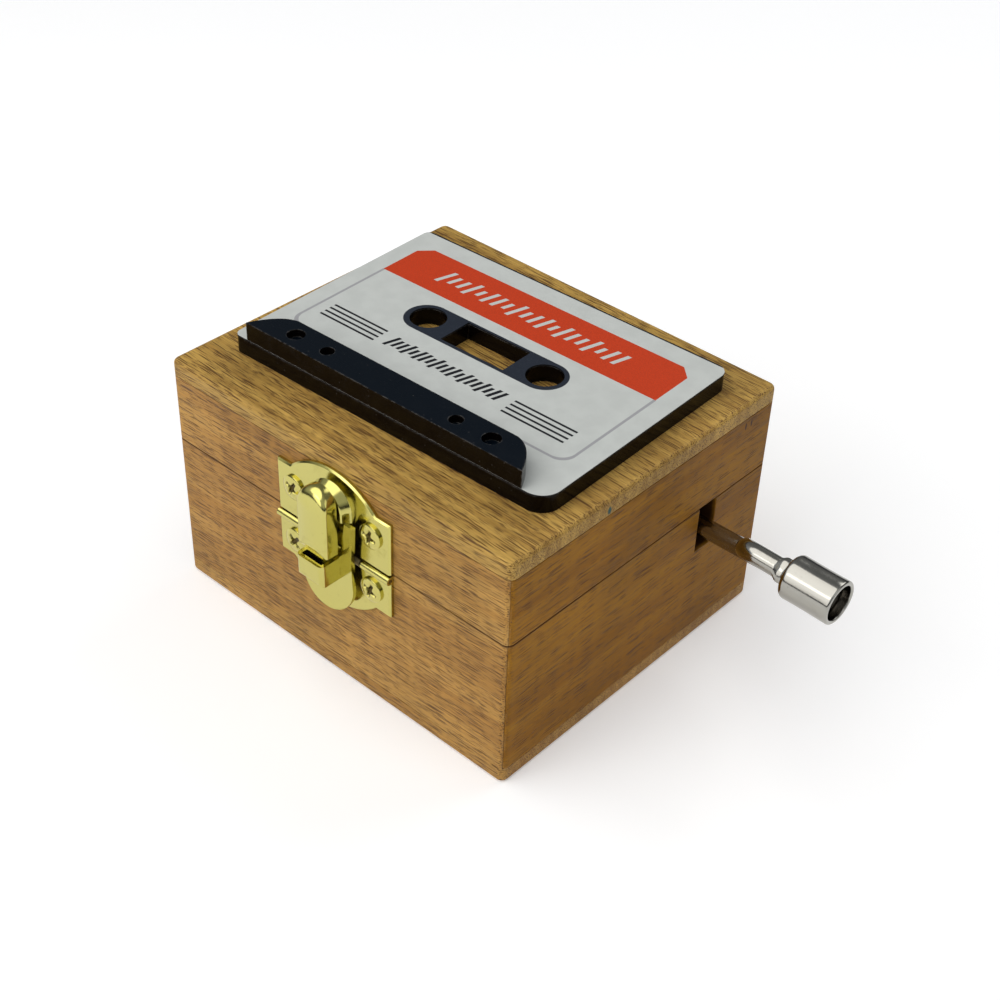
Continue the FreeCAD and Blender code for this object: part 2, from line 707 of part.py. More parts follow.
# ---------------------------------------------------------------- crank
def crank():
    shaft_start = V(shaft_inner_end, crank_y, crank_z)
    rod_end = handle_corner + handle_direction * handle_length
    half = bend_radius * (1 - math.sqrt(0.5))

    def arc(point, into, out_of):
        start = point - into * bend_radius
        end = point + out_of * bend_radius
        middle = point + (out_of - into) * half
        return start, Part.Arc(start, middle, end).toShape(), end

    a0, first_bend, a1 = arc(elbow, X_AXIS, arm_direction)
    b0, second_bend, b1 = arc(handle_corner, arm_direction, handle_direction)
    path = Part.Wire([Part.makeLine(shaft_start, a0), first_bend, Part.makeLine(a1, b0),
                      second_bend, Part.makeLine(b1, rod_end)])
    section = Part.Wire([Part.makeCircle(rod_radius, shaft_start, X_AXIS)])
    body = path.makePipeShell([section], True, False)
    ears = Part.makeBox(ear_length, ear_width, ear_thickness, V(0, -ear_width / 2, -ear_thickness / 2))
    upright = [e for e in ears.Edges if abs(e.BoundBox.ZLength - ear_thickness) < 1e-6]
    ears = ears.makeFillet(ear_round, upright)
    ear_place = handle_corner + handle_direction * (knob_start - ear_gap - ear_length)
    ear_turn = handle_turn.multiply(FreeCAD.Rotation(X_AXIS, 90 - arm_angle))
    ears.Placement = FreeCAD.Placement(ear_place, ear_turn)
    rivet = rod(V(0, 0, -rivet_thickness), Z_AXIS, rivet_radius, rivet_thickness)
    rivet = round_rim(rivet, 0, rivet_thickness / 2)
    rivet.Placement = FreeCAD.Placement(rod_end, FreeCAD.Rotation(Z_AXIS, handle_direction))
    save("crank_rod", body.fuse([ears, rivet]).removeSplitter())


def knob():
    """Sleeve made upright, with an open cup in its outer end, then laid along the handle."""
    body = rod(V(0, 0, 0), Z_AXIS, knob_radius, knob_length)
    body = round_rim(body, 0, knob_round)
    body = round_rim(body, knob_length, knob_rim_round)
    body = body.cut(rod(V(0, 0, knob_length - knob_cup_depth), Z_AXIS, knob_cup_radius, knob_cup_depth))
    body = body.cut(rod(V(0, 0, 0), Z_AXIS, rod_radius + running_fit, knob_length))
    start = handle_corner + handle_direction * knob_start
    body.Placement = FreeCAD.Placement(start, FreeCAD.Rotation(Z_AXIS, handle_direction))
    save("crank_knob", body)


def worm():
    """Single-start thread on a sleeve that is pressed onto the crank shaft."""
    length = worm_turns * worm_lead
    start_x = cylinder_x - (worm_turns / 2) * worm_lead
    root = worm_core_radius - thread_sink
    tip = worm_pitch_radius + tooth_height
    half_root = worm_thread_width / 2 + tooth_flank
    half_tip = worm_thread_width / 2 - tooth_flank
    thread_turns = worm_turns - 1
    helix = Part.makeHelix(worm_lead, thread_turns * worm_lead, worm_pitch_radius)
    profile = Part.makePolygon([V(root, 0, -half_root), V(tip, 0, -half_tip), V(tip, 0, half_tip),
                                V(root, 0, half_root), V(root, 0, -half_root)])
    thread = Part.Wire(helix).makePipeShell([profile], True, True)
    thread.rotate(V(0, 0, 0), Y_AXIS, 90)
    thread.translate(V(start_x + worm_lead / 2, crank_y, crank_z))
    core = rod(V(start_x, crank_y, crank_z), X_AXIS, worm_core_radius, length)
    bore = rod(V(start_x, crank_y, crank_z), X_AXIS, rod_radius, length)
    save("worm", core.fuse(thread).cut(bore))


def collar():
    start = V(bearing_x_outer - bracket_thickness - bracket_clear - collar_length, crank_y, crank_z)
    ring = rod(start, X_AXIS, collar_radius, collar_length)
    save("crank_collar", ring.cut(rod(start, X_AXIS, rod_radius, collar_length)))


# ---------------------------------------------------------------- movement
def bracket(x, y, z, heading, hole_radius):
    """Upright bearing plate: its face is at the point, its foot runs off at heading degrees from +X."""
    half = bracket_width / 2
    top = z + bracket_above
    foot_top = bed_top + bracket_foot_thickness
    plate = block(0, bracket_thickness, -half, half, bed_top, top)
    upper = [e for e in plate.Edges if abs(e.BoundBox.XLength - bracket_thickness) < 1e-6
             and abs(e.BoundBox.ZMin - top) < 1e-6]
    plate = plate.makeFillet(bracket_width * bracket_round, upper)
    foot = block(bracket_thickness, bracket_thickness + bracket_foot, -half, half, bed_top, foot_top)
    hole = rod(V(0, 0, z), X_AXIS, hole_radius, bracket_thickness)
    shape = plate.fuse(foot).cut(hole).removeSplitter()
    spot = V(bracket_thickness + bracket_foot / 2, 0, foot_top)
    shape = drilled(shape, [spot], Z_AXIS, small_shank_radius, bracket_foot_thickness)
    turn = FreeCAD.Rotation(Z_AXIS, heading)
    shape.Placement = FreeCAD.Placement(V(x, y, 0), turn)
    return shape, V(x, y, 0) + turn.multVec(spot)


def movement():
    crank_hole = rod_radius + running_fit
    axle_hole = axle_radius + running_fit
    behind = wheel_back + bracket_clear
    ahead = barrel_front - bracket_clear
    brackets = {
        "crank_bearing_outer": bracket(bearing_x_outer, crank_y, crank_z, 180, crank_hole),
        "crank_bearing_inner": bracket(bearing_x_inner, crank_y, crank_z, 180, crank_hole),
        "cylinder_bearing_back": bracket(cylinder_x, behind, cylinder_z, 90, axle_hole),
        "cylinder_bearing_front": bracket(cylinder_x, ahead, cylinder_z, -90, axle_hole),
    }
    spots = []
    for name, (shape, spot) in brackets.items():
        save(name, shape)
        spots.append(spot)
    screws = [screw(spot, Z_AXIS, small_head_radius, small_head_height, small_shank_radius,
                    small_screw_length) for spot in spots]
    save("bearing_screws", Part.makeCompound(screws))

    shelf_top = cylinder_z - comb_thickness / 2
    comb_low = comb_centre_y - comb_half - comb_margin
    comb_high = comb_centre_y + comb_half + comb_margin
    plate_x0 = comb_root_x - comb_plate_length
    bed = rounded_slab(bed_left, bed_right, bed_front, bed_back, bottom_thickness, bed_top, bed_corner)
    shelf = block(plate_x0, comb_root_x - shelf_inset, comb_low, comb_high, bed_top, shelf_top)
    window_half = wheel_pitch_radius + bed_window_side
    window = block(cylinder_x - window_half, cylinder_x + window_half, barrel_front + bed_window_front,
                   crank_y + wheel_thickness / 2 + bed_window_back, bottom_thickness, bed_top)
    # a hollow under the barrel, which reaches the bedplate only when the cylinder is set lower
    hollow = rod(V(cylinder_x, barrel_front - slack, cylinder_z), Y_AXIS,
                 barrel_radius + pin_height + slack, barrel_back - barrel_front + 2 * slack)
    bed = bed.fuse(shelf).cut(window).cut(hollow)
    bed = drilled(bed, spots, Z_AXIS, small_shank_radius, small_screw_length)
    comb_spots = [V(plate_x0 + comb_plate_length * comb_screw_back,
                    comb_centre_y + s * comb_half * comb_screw_side,
                    shelf_top + comb_thickness) for s in (-1, 1)]
    bed = drilled(bed, comb_spots, Z_AXIS, small_shank_radius, small_screw_length)
    for x, y in bed_screw_spots:
        depth = bed_screw_length + bed_head_height
        bed = bed.cut(rod(V(x, y, 0), Z_AXIS, bed_shank_radius, depth))
    save("movement_bedplate", bed.removeSplitter())
    save_comb(plate_x0, comb_low, comb_high, shelf_top, comb_spots)
    mounts = [screw(V(x, y, bed_head_height), Z_AXIS * -1, bed_head_radius, bed_head_height - head_sink,
                    bed_shank_radius, bed_screw_length) for x, y in bed_screw_spots]
    save("movement_screws", Part.makeCompound(mounts))


def save_comb(plate_x0, comb_low, comb_high, shelf_top, comb_spots):
    """Steel comb: a thick root plate and thinner tines over the cylinder."""
    comb = block(plate_x0, comb_root_x, comb_low, comb_high, shelf_top, shelf_top + comb_thickness)
    top = shelf_top + comb_thickness
    tines = []
    weights = []
    for i in range(comb_teeth):
        y = comb_centre_y - comb_half + (i + 0.5) * comb_pitch
        low = y - (comb_pitch - comb_slot) / 2
        high = y + (comb_pitch - comb_slot) / 2
        under = top - tine_thickness
        tines.append(block(comb_root_x - comb_root_overlap, comb_tip_x, low, high, under, top))
        if i < weighted_tines:
            drop = weight_longest - weight_step * i
            end = comb_tip_x - weight_setback
            weights.append(block(end - weight_length, end, low, high, under - drop, under))
    comb = comb.fuse(tines)
    comb = drilled(comb, comb_spots, Z_AXIS, small_shank_radius, comb_thickness)
    save("comb", comb.removeSplitter())
    save("comb_weights", Part.makeCompound(weights))
    screws = [screw(spot, Z_AXIS, small_head_radius, small_head_height, small_shank_radius,
                    small_screw_length) for spot in comb_spots]
    save("comb_screws", Part.makeCompound(screws))


def cylinder():
    length = barrel_back - barrel_front
    start = V(cylinder_x, barrel_front, cylinder_z)
    barrel = rod(start, Y_AXIS, barrel_radius, length)
    barrel = barrel.cut(rod(start, Y_AXIS, axle_radius, length))
    save("cylinder_barrel", barrel)
    pins = []
    for i in range(comb_teeth):
        y = comb_centre_y - comb_half + (i + 0.5) * comb_pitch
        for k in range(pins_per_row):
            turn = math.radians(360 / pins_per_row * k + row_turn * i + pin_turn * ((i * k) % 3))
            direction = V(math.cos(turn), 0, math.sin(turn))
            foot = V(cylinder_x, y, cylinder_z) + direction * (barrel_radius - pin_sink)
            pins.append(rod(foot, direction, pin_radius, pin_sink + pin_height))
    save("cylinder_pins", Part.makeCompound(pins))
    front_end = barrel_front - bracket_clear - bracket_thickness - axle_end
    back_end = wheel_back + bracket_clear + bracket_thickness + axle_end
    start = V(cylinder_x, front_end, cylinder_z)
    save("cylinder_axle", rod(start, Y_AXIS, axle_radius, back_end - front_end))


def worm_wheel():
    """Straight-toothed wheel; a tooth stands upright under the worm at rest."""
    tip = wheel_pitch_radius + worm_pitch_radius - worm_core_radius - mesh_clearance
    root = wheel_pitch_radius - tooth_height - tooth_root_gap
    back = crank_y - wheel_thickness / 2
    half_tip = wheel_tooth_width / 2 - tooth_flank
    half_root = wheel_tooth_width / 2 + tooth_foot_flare
    disc = rod(V(cylinder_x, back, cylinder_z), Y_AXIS, root, wheel_thickness)
    hub = rod(V(cylinder_x, back, cylinder_z), Y_AXIS, hub_radius, wheel_thickness + hub_length)
    teeth = []
    for i in range(wheel_teeth):
        foot = root - tooth_sink
        tooth = prism([V(-half_root, 0, foot), V(half_root, 0, foot),
                       V(half_tip, 0, tip), V(-half_tip, 0, tip)], Y_AXIS * wheel_thickness)
        tooth.rotate(V(0, 0, 0), Y_AXIS, 360 / wheel_teeth * i)
        tooth.translate(V(cylinder_x, back, cylinder_z))
        teeth.append(tooth)
    wheel = disc.fuse([hub] + teeth)
    bore = rod(V(cylinder_x, back, cylinder_z), Y_AXIS, axle_radius, wheel_thickness + hub_length)
    save("worm_wheel", wheel.cut(bore).removeSplitter())


print("handle axis from", [round(c, 5) for c in handle_corner + handle_direction * knob_start],
      "along", [round(c, 6) for c in handle_direction])
base_case()
bottom_panel()
lid_case()
badge()
catch_lid_plate()
catch_base_plate()
catch_lever()
catch_hook()
catch_pin_and_springs()
catch_screws()
hinges()
crank()
knob()
worm()
collar()
movement()
cylinder()
worm_wheel()
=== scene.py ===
import json
import math

import bmesh
import bpy
import numpy as np
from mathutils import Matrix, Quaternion, Vector


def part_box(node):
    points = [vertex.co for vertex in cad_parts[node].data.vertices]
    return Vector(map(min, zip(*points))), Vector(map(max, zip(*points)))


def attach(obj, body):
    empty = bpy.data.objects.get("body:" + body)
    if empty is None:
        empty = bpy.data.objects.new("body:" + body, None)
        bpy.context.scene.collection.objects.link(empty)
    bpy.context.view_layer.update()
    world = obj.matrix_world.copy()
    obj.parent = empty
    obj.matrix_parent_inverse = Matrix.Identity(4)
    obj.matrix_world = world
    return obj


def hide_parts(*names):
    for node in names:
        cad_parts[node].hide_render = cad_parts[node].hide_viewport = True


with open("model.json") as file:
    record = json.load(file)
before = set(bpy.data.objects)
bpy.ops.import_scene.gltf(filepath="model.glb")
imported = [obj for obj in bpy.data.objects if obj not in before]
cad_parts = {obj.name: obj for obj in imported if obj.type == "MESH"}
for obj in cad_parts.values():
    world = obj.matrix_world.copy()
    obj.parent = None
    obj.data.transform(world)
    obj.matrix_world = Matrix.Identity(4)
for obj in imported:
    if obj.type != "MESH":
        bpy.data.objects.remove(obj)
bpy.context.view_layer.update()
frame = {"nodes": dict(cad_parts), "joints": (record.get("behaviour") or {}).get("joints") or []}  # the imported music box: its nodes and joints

mm = 0.001
print("frame loaded:", len(frame["nodes"]), "nodes")


def jointOf(name):
    # a joint's point and the direction it turns about, from the record
    for joint in frame["joints"]:
        if joint["name"] == name:
            return np.array(joint["pos_m"], float), np.array(joint["axis"], float)
    raise KeyError(name)


def boxOf(node):
    # the low and high corners of a frame node
    low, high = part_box(node)
    return np.array(low), np.array(high)


def pieceName(node):
    # lid_top_panel becomes lidTopPanel
    first, *others = node.split("_")
    return first + "".join(word.capitalize() for word in others)


def addObject(name, data):
    made = bpy.data.objects.new(name, data)
    bpy.context.scene.collection.objects.link(made)
    return made


def meshFrom(name, verts, quads):
    # verts is an (n, 3) array, quads an (m, 4) array of indices
    mesh = bpy.data.meshes.new(name)
    mesh.from_pydata(verts.tolist(), [], quads.tolist())
    mesh.validate()
    return addObject(name, mesh)


def gridQuads(rows, cols, wrapRows=False, wrapCols=False, start=0):
    # four-sided faces between neighbouring points of a rows by cols grid
    i = np.arange(rows if wrapRows else rows - 1)
    j = np.arange(cols if wrapCols else cols - 1)
    i, j = np.meshgrid(i, j, indexing="ij")
    here, below, right = i * cols, (i + 1) % rows * cols, (j + 1) % cols
    return start + np.stack([here + j, here + right, below + right, below + j], -1).reshape(-1, 4)


def closeUp(piece):
    # merges doubles, fills open ends and turns every face outwards
    bm = bmesh.new()
    bm.from_mesh(piece.data)
    bmesh.ops.remove_doubles(bm, verts=bm.verts, dist=1e-7)
    bmesh.ops.holes_fill(bm, edges=[e for e in bm.edges if e.is_boundary])
    bmesh.ops.recalc_face_normals(bm, faces=bm.faces)
    bm.to_mesh(piece.data)
    bm.free()


def storeRecess(piece, sunk):
    # how far each point lies in a pressed mark, as a number that the metals read
    layer = piece.data.attributes.new("recess", "FLOAT", "POINT")
    layer.data.foreach_set("value", np.asarray(sunk, np.float32))


def smooth(piece, angle):
    piece.data.shade_smooth()
    piece.data.set_sharp_from_angle(angle=math.radians(angle))


def place(piece, body, node, finish):
    # rides on a body, stands for a frame node and takes a material
    piece.data.materials.clear()
    piece.data.materials.append(finish)
    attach(piece, body)
    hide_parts(node)


def softened(node, width, segments=2, weigh=None):
    # a merged copy of a frame node with its sharp edges rolled off by width; weigh(middle)
    # may give each sharp edge its own share of the width
    crease = 32
    limit = math.radians(crease)
    mesh = frame["nodes"][node].data.copy()
    if "custom_normal" in mesh.attributes:
        mesh.attributes.remove(mesh.attributes["custom_normal"])
    bm = bmesh.new()
    bm.from_mesh(mesh)
    bmesh.ops.remove_doubles(bm, verts=bm.verts, dist=2e-6)
    bmesh.ops.dissolve_limit(bm, angle_limit=math.radians(0.4), verts=bm.verts, edges=bm.edges)
    if weigh:
        layer = bm.edges.layers.float.new("bevel_weight_edge")
        for edge in bm.edges:
            if edge.is_manifold and edge.calc_face_angle(0.0) > limit:
                edge[layer] = weigh((edge.verts[0].co + edge.verts[1].co) / 2)
    bm.to_mesh(mesh)
    bm.free()
    piece = addObject(pieceName(node), mesh)
    smooth(piece, crease)
    bevel = piece.modifiers.new("rolledEdges", "BEVEL")
    bevel.width = width
    bevel.segments = segments
    bevel.limit_method = "WEIGHT" if weigh else "ANGLE"
    bevel.angle_limit = limit
    return piece


# node tools, used by every material

def rgb(r, g, b):
    return (r, g, b, 1.0)


def fill(tree, made, values):
    # values go to a node's input sockets by name or number: sockets are linked, the rest is set
    for key, value in values.items():
        if isinstance(value, bpy.types.NodeSocket):
            tree.links.new(value, made.inputs[key])
        else:
            made.inputs[key].default_value = value


def addNode(tree, kind, values, **settings):
    made = tree.nodes.new(kind)
    for key, value in settings.items():
        setattr(made, key, value)
    fill(tree, made, values)
    return made


def sums(tree, operation, a, b=0.0):
    return addNode(tree, "ShaderNodeMath", {0: a, 1: b}, operation=operation).outputs[0]


def plus(tree, a, b):
    return sums(tree, "ADD", a, b)


def minus(tree, a, b):
    return sums(tree, "SUBTRACT", a, b)


def times(tree, a, b):
    return sums(tree, "MULTIPLY", a, b)


def larger(tree, a, b):
    return sums(tree, "MAXIMUM", a, b)


def apart(tree, a, b):
    # the distance between two numbers
    return sums(tree, "ABSOLUTE", minus(tree, a, b))


def vecs(tree, operation, a, b):
    return addNode(tree, "ShaderNodeVectorMath", {0: a, 1: b}, operation=operation).outputs[0]


def axesOf(tree, vector):
    return addNode(tree, "ShaderNodeSeparateXYZ", {0: vector}).outputs


def span(tree, value, low, high, outLow=0.0, outHigh=1.0):
    # a smooth step from outLow at low to outHigh at high
    made = addNode(tree, "ShaderNodeMapRange", {"Value": value, "From Min": low, "From Max": high,
                                                "To Min": outLow, "To Max": outHigh},
                   interpolation_type="SMOOTHSTEP")
    return made.outputs["Result"]


def noise(tree, vector, scale, detail, roughness=0.5, distortion=0.0, output="Fac"):
    values = {"Vector": vector, "Scale": scale, "Detail": detail, "Roughness": roughness,
              "Distortion": distortion}
    return addNode(tree, "ShaderNodeTexNoise", values).outputs[output]


def blendColour(tree, share, a, b, mode="MIX"):
    return addNode(tree, "ShaderNodeMix", {0: share, 6: a, 7: b}, data_type="RGBA", blend_type=mode,
                   clamp_factor=True).outputs[2]


def stain(tree, colour, mask, strength, tint):
    # lays a tint over a colour where the mask is, as strongly as strength says
    return blendColour(tree, times(tree, mask, strength), colour, tint)


def toned(tree, colour, tone):
    # a colour made darker or lighter by a number
    grey = addNode(tree, "ShaderNodeCombineColor", {0: tone, 1: tone, 2: tone}).outputs[0]
    return blendColour(tree, 1.0, colour, grey, "MULTIPLY")


def newGroup(name, inputs, outputs):
    # an empty shader group; an input given as None is a vector, as a tuple a colour
    tree = bpy.data.node_groups.new(name, "ShaderNodeTree")
    for label, value in inputs.items():
        kind = "NodeSocketColor" if isinstance(value, tuple) else "NodeSocketFloat"
        if value is None:
            kind = "NodeSocketVector"
        socket = tree.interface.new_socket(name=label, in_out="INPUT", socket_type=kind)
        if value is not None:
            socket.default_value = value
    for label in outputs:
        kind = "NodeSocketColor" if label == "Color" else "NodeSocketFloat"
        tree.interface.new_socket(name=label, in_out="OUTPUT", socket_type=kind)
    ins = tree.nodes.new("NodeGroupInput").outputs
    outs = tree.nodes.new("NodeGroupOutput").inputs
    return tree, ins, outs


def useGroup(tree, group, values):
    made = tree.nodes.new("ShaderNodeGroup")
    made.node_tree = group
    fill(tree, made, values)
    return made.outputs


def newMaterial(name):
    # a material with a Principled shader; returns material, tree, shader, object coordinates
    made = bpy.data.materials.new(name)
    made.use_nodes = True
    tree = made.node_tree
    tree.nodes.clear()
    shader = tree.nodes.new("ShaderNodeBsdfPrincipled")
    out = tree.nodes.new("ShaderNodeOutputMaterial")
    tree.links.new(shader.outputs[0], out.inputs["Surface"])
    coords = tree.nodes.new("ShaderNodeTexCoord").outputs["Object"]
    return made, tree, shader, coords


def setBump(tree, shader, height, strength, distance):
    bump = addNode(tree, "ShaderNodeBump", {"Height": height, "Strength": strength, "Distance": distance})
    tree.links.new(bump.outputs[0], shader.inputs["Normal"])


def lookingUp(tree):
    # how far a surface looks up on the closed box: 1 on a level top, 0 on a wall
    return axesOf(tree, tree.nodes.new("ShaderNodeTexCoord").outputs["Normal"])[2]


# effects that several materials share, each a shader group

def makeEdgeWear():
    # how far the rounded normal leans from the flat one: high on outer edges, broken by noise
    tree, ins, outs = newGroup("edgeWear", {"Reach": 0.0004, "Vector": None, "Patches": 900.0}, ["Mask"])
    bevel = addNode(tree, "ShaderNodeBevel", {"Radius": ins["Reach"]}, samples=6)
    geometry = tree.nodes.new("ShaderNodeNewGeometry")
    lean = addNode(tree, "ShaderNodeVectorMath", {0: bevel.outputs[0], 1: geometry.outputs["True Normal"]},
                   operation="DOT_PRODUCT").outputs["Value"]
    patches = noise(tree, ins["Vector"], ins["Patches"], 3.0)
    broken = times(tree, span(tree, lean, 0.995, 0.86), span(tree, patches, 0.42, 0.62))
    tree.links.new(broken, outs["Mask"])
    return tree


def makeSpecks():
    # round specks: cells of a Voronoi whose random value is under the share
    tree, ins, outs = newGroup("specks", {"Vector": None, "Scale": 1200.0, "Share": 0.1, "Size": 0.2},
                               ["Mask"])
    cells = addNode(tree, "ShaderNodeTexVoronoi", {"Vector": ins["Vector"], "Scale": ins["Scale"]})
    pick = addNode(tree, "ShaderNodeSeparateColor", {0: cells.outputs["Color"]}).outputs[0]
    chosen = sums(tree, "LESS_THAN", pick, ins["Share"])
    near = span(tree, cells.outputs["Distance"], ins["Size"], 0.0)
    tree.links.new(times(tree, chosen, near), outs["Mask"])
    return tree


def makeBeech():
    # beech with its grain along the vector's X: soft streaks, fine fibres and short dark flecks
    tree, ins, outs = newGroup(
        "beechGrain", {"Vector": None, "Pale": rgb(0.6, 0.4, 0.2), "Tan": rgb(0.4, 0.25, 0.1),
                       "Fleck": rgb(0.12, 0.06, 0.02), "Streaks": 0.6, "Flecks": 0.4,
                       "Fleck Stretch": None, "Bands": 0.4}, ["Color", "Height", "Rough"])

    def stretched(x, y, z):
        return vecs(tree, "MULTIPLY", ins["Vector"], (x, y, z))

    def waves(space, distortion, detail, detailScale, side, profile="SIN"):
        values = {"Vector": space, "Scale": 1.0, "Distortion": distortion, "Detail": detail,
                  "Detail Scale": detailScale}
        return addNode(tree, "ShaderNodeTexWave", values, wave_type="BANDS", bands_direction=side,
                       wave_profile=profile).outputs["Fac"]

    broad = noise(tree, stretched(12, 260, 260), 1.0, 4.0, 0.55, 0.4)
    rings = waves(stretched(9, 150, 190), 5.0, 2.0, 0.6, "Y")
    fibre = noise(tree, stretched(160, 5200, 5200), 1.0, 3.0, 0.6)
    bands = waves(stretched(16, 95, 120), 3.2, 1.5, 0.5, "Z", "SAW")
    streak = plus(tree, times(tree, span(tree, broad, 0.3, 0.7), 0.62), times(tree, rings, 0.38))
    streak = addNode(tree, "ShaderNodeMix", {0: ins["Bands"], 2: streak, 3: bands},
                     data_type="FLOAT").outputs[0]
    share = times(tree, span(tree, streak, 0.2, 0.85), ins["Streaks"])
    colour = toned(tree, blendColour(tree, share, ins["Pale"], ins["Tan"]),
                   span(tree, fibre, 0.25, 0.75, 0.74, 1.16))

    # three sizes of fleck: length and width scales, share kept, size
    layers = ((190, 2700, 0.55, 0.40), (330, 4300, 0.50, 0.38), (620, 6900, 0.36, 0.36))
    warp = noise(tree, stretched(150, 500, 500), 1.0, 1.0, output="Color")
    bend = vecs(tree, "MULTIPLY", warp, (0.7, 0.7, 0.7))
    flecks = None
    for length, width, keep, size in layers:
        space = vecs(tree, "MULTIPLY", stretched(length, width, width), ins["Fleck Stretch"])
        bent = vecs(tree, "ADD", space, bend)
        cells = addNode(tree, "ShaderNodeTexVoronoi", {"Vector": bent, "Scale": 1.0})
        pick = addNode(tree, "ShaderNodeSeparateColor", {0: cells.outputs["Color"]}).outputs[0]
        chosen = sums(tree, "LESS_THAN", pick, times(tree, ins["Flecks"], 2.0 * keep))
        mark = times(tree, chosen, span(tree, cells.outputs["Distance"], size, size * 0.6))
        flecks = mark if flecks is None else larger(tree, flecks, mark)
    colour = stain(tree, colour, flecks, 0.88, ins["Fleck"])
    tree.links.new(colour, outs["Color"])
    tree.links.new(minus(tree, times(tree, fibre, 0.35), times(tree, flecks, 0.9)), outs["Height"])
    tree.links.new(span(tree, fibre, 0.3, 0.7, 0.46, 0.62), outs["Rough"])
    return tree


def makeSmudge():
    # handling marks on metal: cloudy patches and crossed hairline scratches
    tree, ins, outs = newGroup("smudge", {"Vector": None, "Low": 0.1, "High": 0.3},
                               ["Rough", "Height", "Grime"])
    clouds = noise(tree, ins["Vector"], 420.0, 4.0, 0.6)
    hair = None
    for turn in (0.4, 1.9):
        turned = addNode(tree, "ShaderNodeMapping", {"Vector": ins["Vector"], "Rotation": (turn, turn, turn),
                                                     "Scale": (300.0, 9000.0, 9000.0)}).outputs[0]
        line = span(tree, noise(tree, turned, 1.0, 2.0), 0.62, 0.72)
        hair = line if hair is None else larger(tree, hair, line)
    share = plus(tree, span(tree, clouds, 0.35, 0.75, 0.0, 0.8), times(tree, hair, 0.25))
    rough = addNode(tree, "ShaderNodeMapRange", {"Value": share, "To Min": ins["Low"], "To Max": ins["High"]})
    tree.links.new(rough.outputs["Result"], outs["Rough"])
    tree.links.new(minus(tree, clouds, times(tree, hair, 0.4)), outs["Height"])
    tree.links.new(span(tree, clouds, 0.55, 0.8), outs["Grime"])
    return tree


def makePrintBox():
    # mask of a rounded box in the XY plane: one inside, soft over a few hundredths
    soft = 0.03
    tree, ins, outs = newGroup("printBox", {"Vector": None, "X": 0.0, "Y": 0.0, "Half X": 1.0, "Half Y": 1.0,
                                            "Corner": 0.0}, ["Mask"])
    parts = axesOf(tree, ins["Vector"])
    sides = []
    for axis, centre, half in ((0, "X", "Half X"), (1, "Y", "Half Y")):
        inner = minus(tree, ins[half], ins["Corner"])
        sides.append(minus(tree, apart(tree, parts[axis], ins[centre]), inner))
    outside = [larger(tree, side, 0.0) for side in sides]
    length = sums(tree, "SQRT", plus(tree, *[times(tree, side, side) for side in outside]))
    inside = sums(tree, "MINIMUM", larger(tree, sides[0], sides[1]), 0.0)
    distance = minus(tree, plus(tree, length, inside), ins["Corner"])
    tree.links.new(span(tree, distance, soft, -soft), outs["Mask"])
    return tree


def makeTickRow():
    # a row of slanted bars whose heights swell and sink, as on a level meter
    tree, ins, outs = newGroup("tickRow", {"Vector": None, "X": 0.0, "Y": 0.0, "Half Length": 10.0,
                                           "Pitch": 1.5, "Bar": 0.5, "Half Height": 1.2, "Swell": 0.4,
                                           "Slant": 0.25}, ["Mask"])
    parts = axesOf(tree, ins["Vector"])
    y = minus(tree, parts[1], ins["Y"])
    x = minus(tree, minus(tree, parts[0], ins["X"]), times(tree, y, ins["Slant"]))
    cell = sums(tree, "DIVIDE", x, ins["Pitch"])
    across = apart(tree, sums(tree, "FRACT", cell), 0.5)
    bar = span(tree, across, times(tree, ins["Bar"], 0.53), times(tree, ins["Bar"], 0.47))
    wave = sums(tree, "SINE", times(tree, sums(tree, "FLOOR", cell), 2.4))
    tall = plus(tree, ins["Half Height"], times(tree, wave, ins["Swell"]))
    high = span(tree, minus(tree, sums(tree, "ABSOLUTE", y), tall), 0.03, -0.03)
    inRow = span(tree, minus(tree, sums(tree, "ABSOLUTE", x), ins["Half Length"]), 0.01, -0.01)
    tree.links.new(times(tree, times(tree, bar, high), inRow), outs["Mask"])
    return tree


edgeWear = makeEdgeWear()
specks = makeSpecks()
beechGrain = makeBeech()
smudge = makeSmudge()
printBox = makePrintBox()
tickRow = makeTickRow()
print("shared effects built")


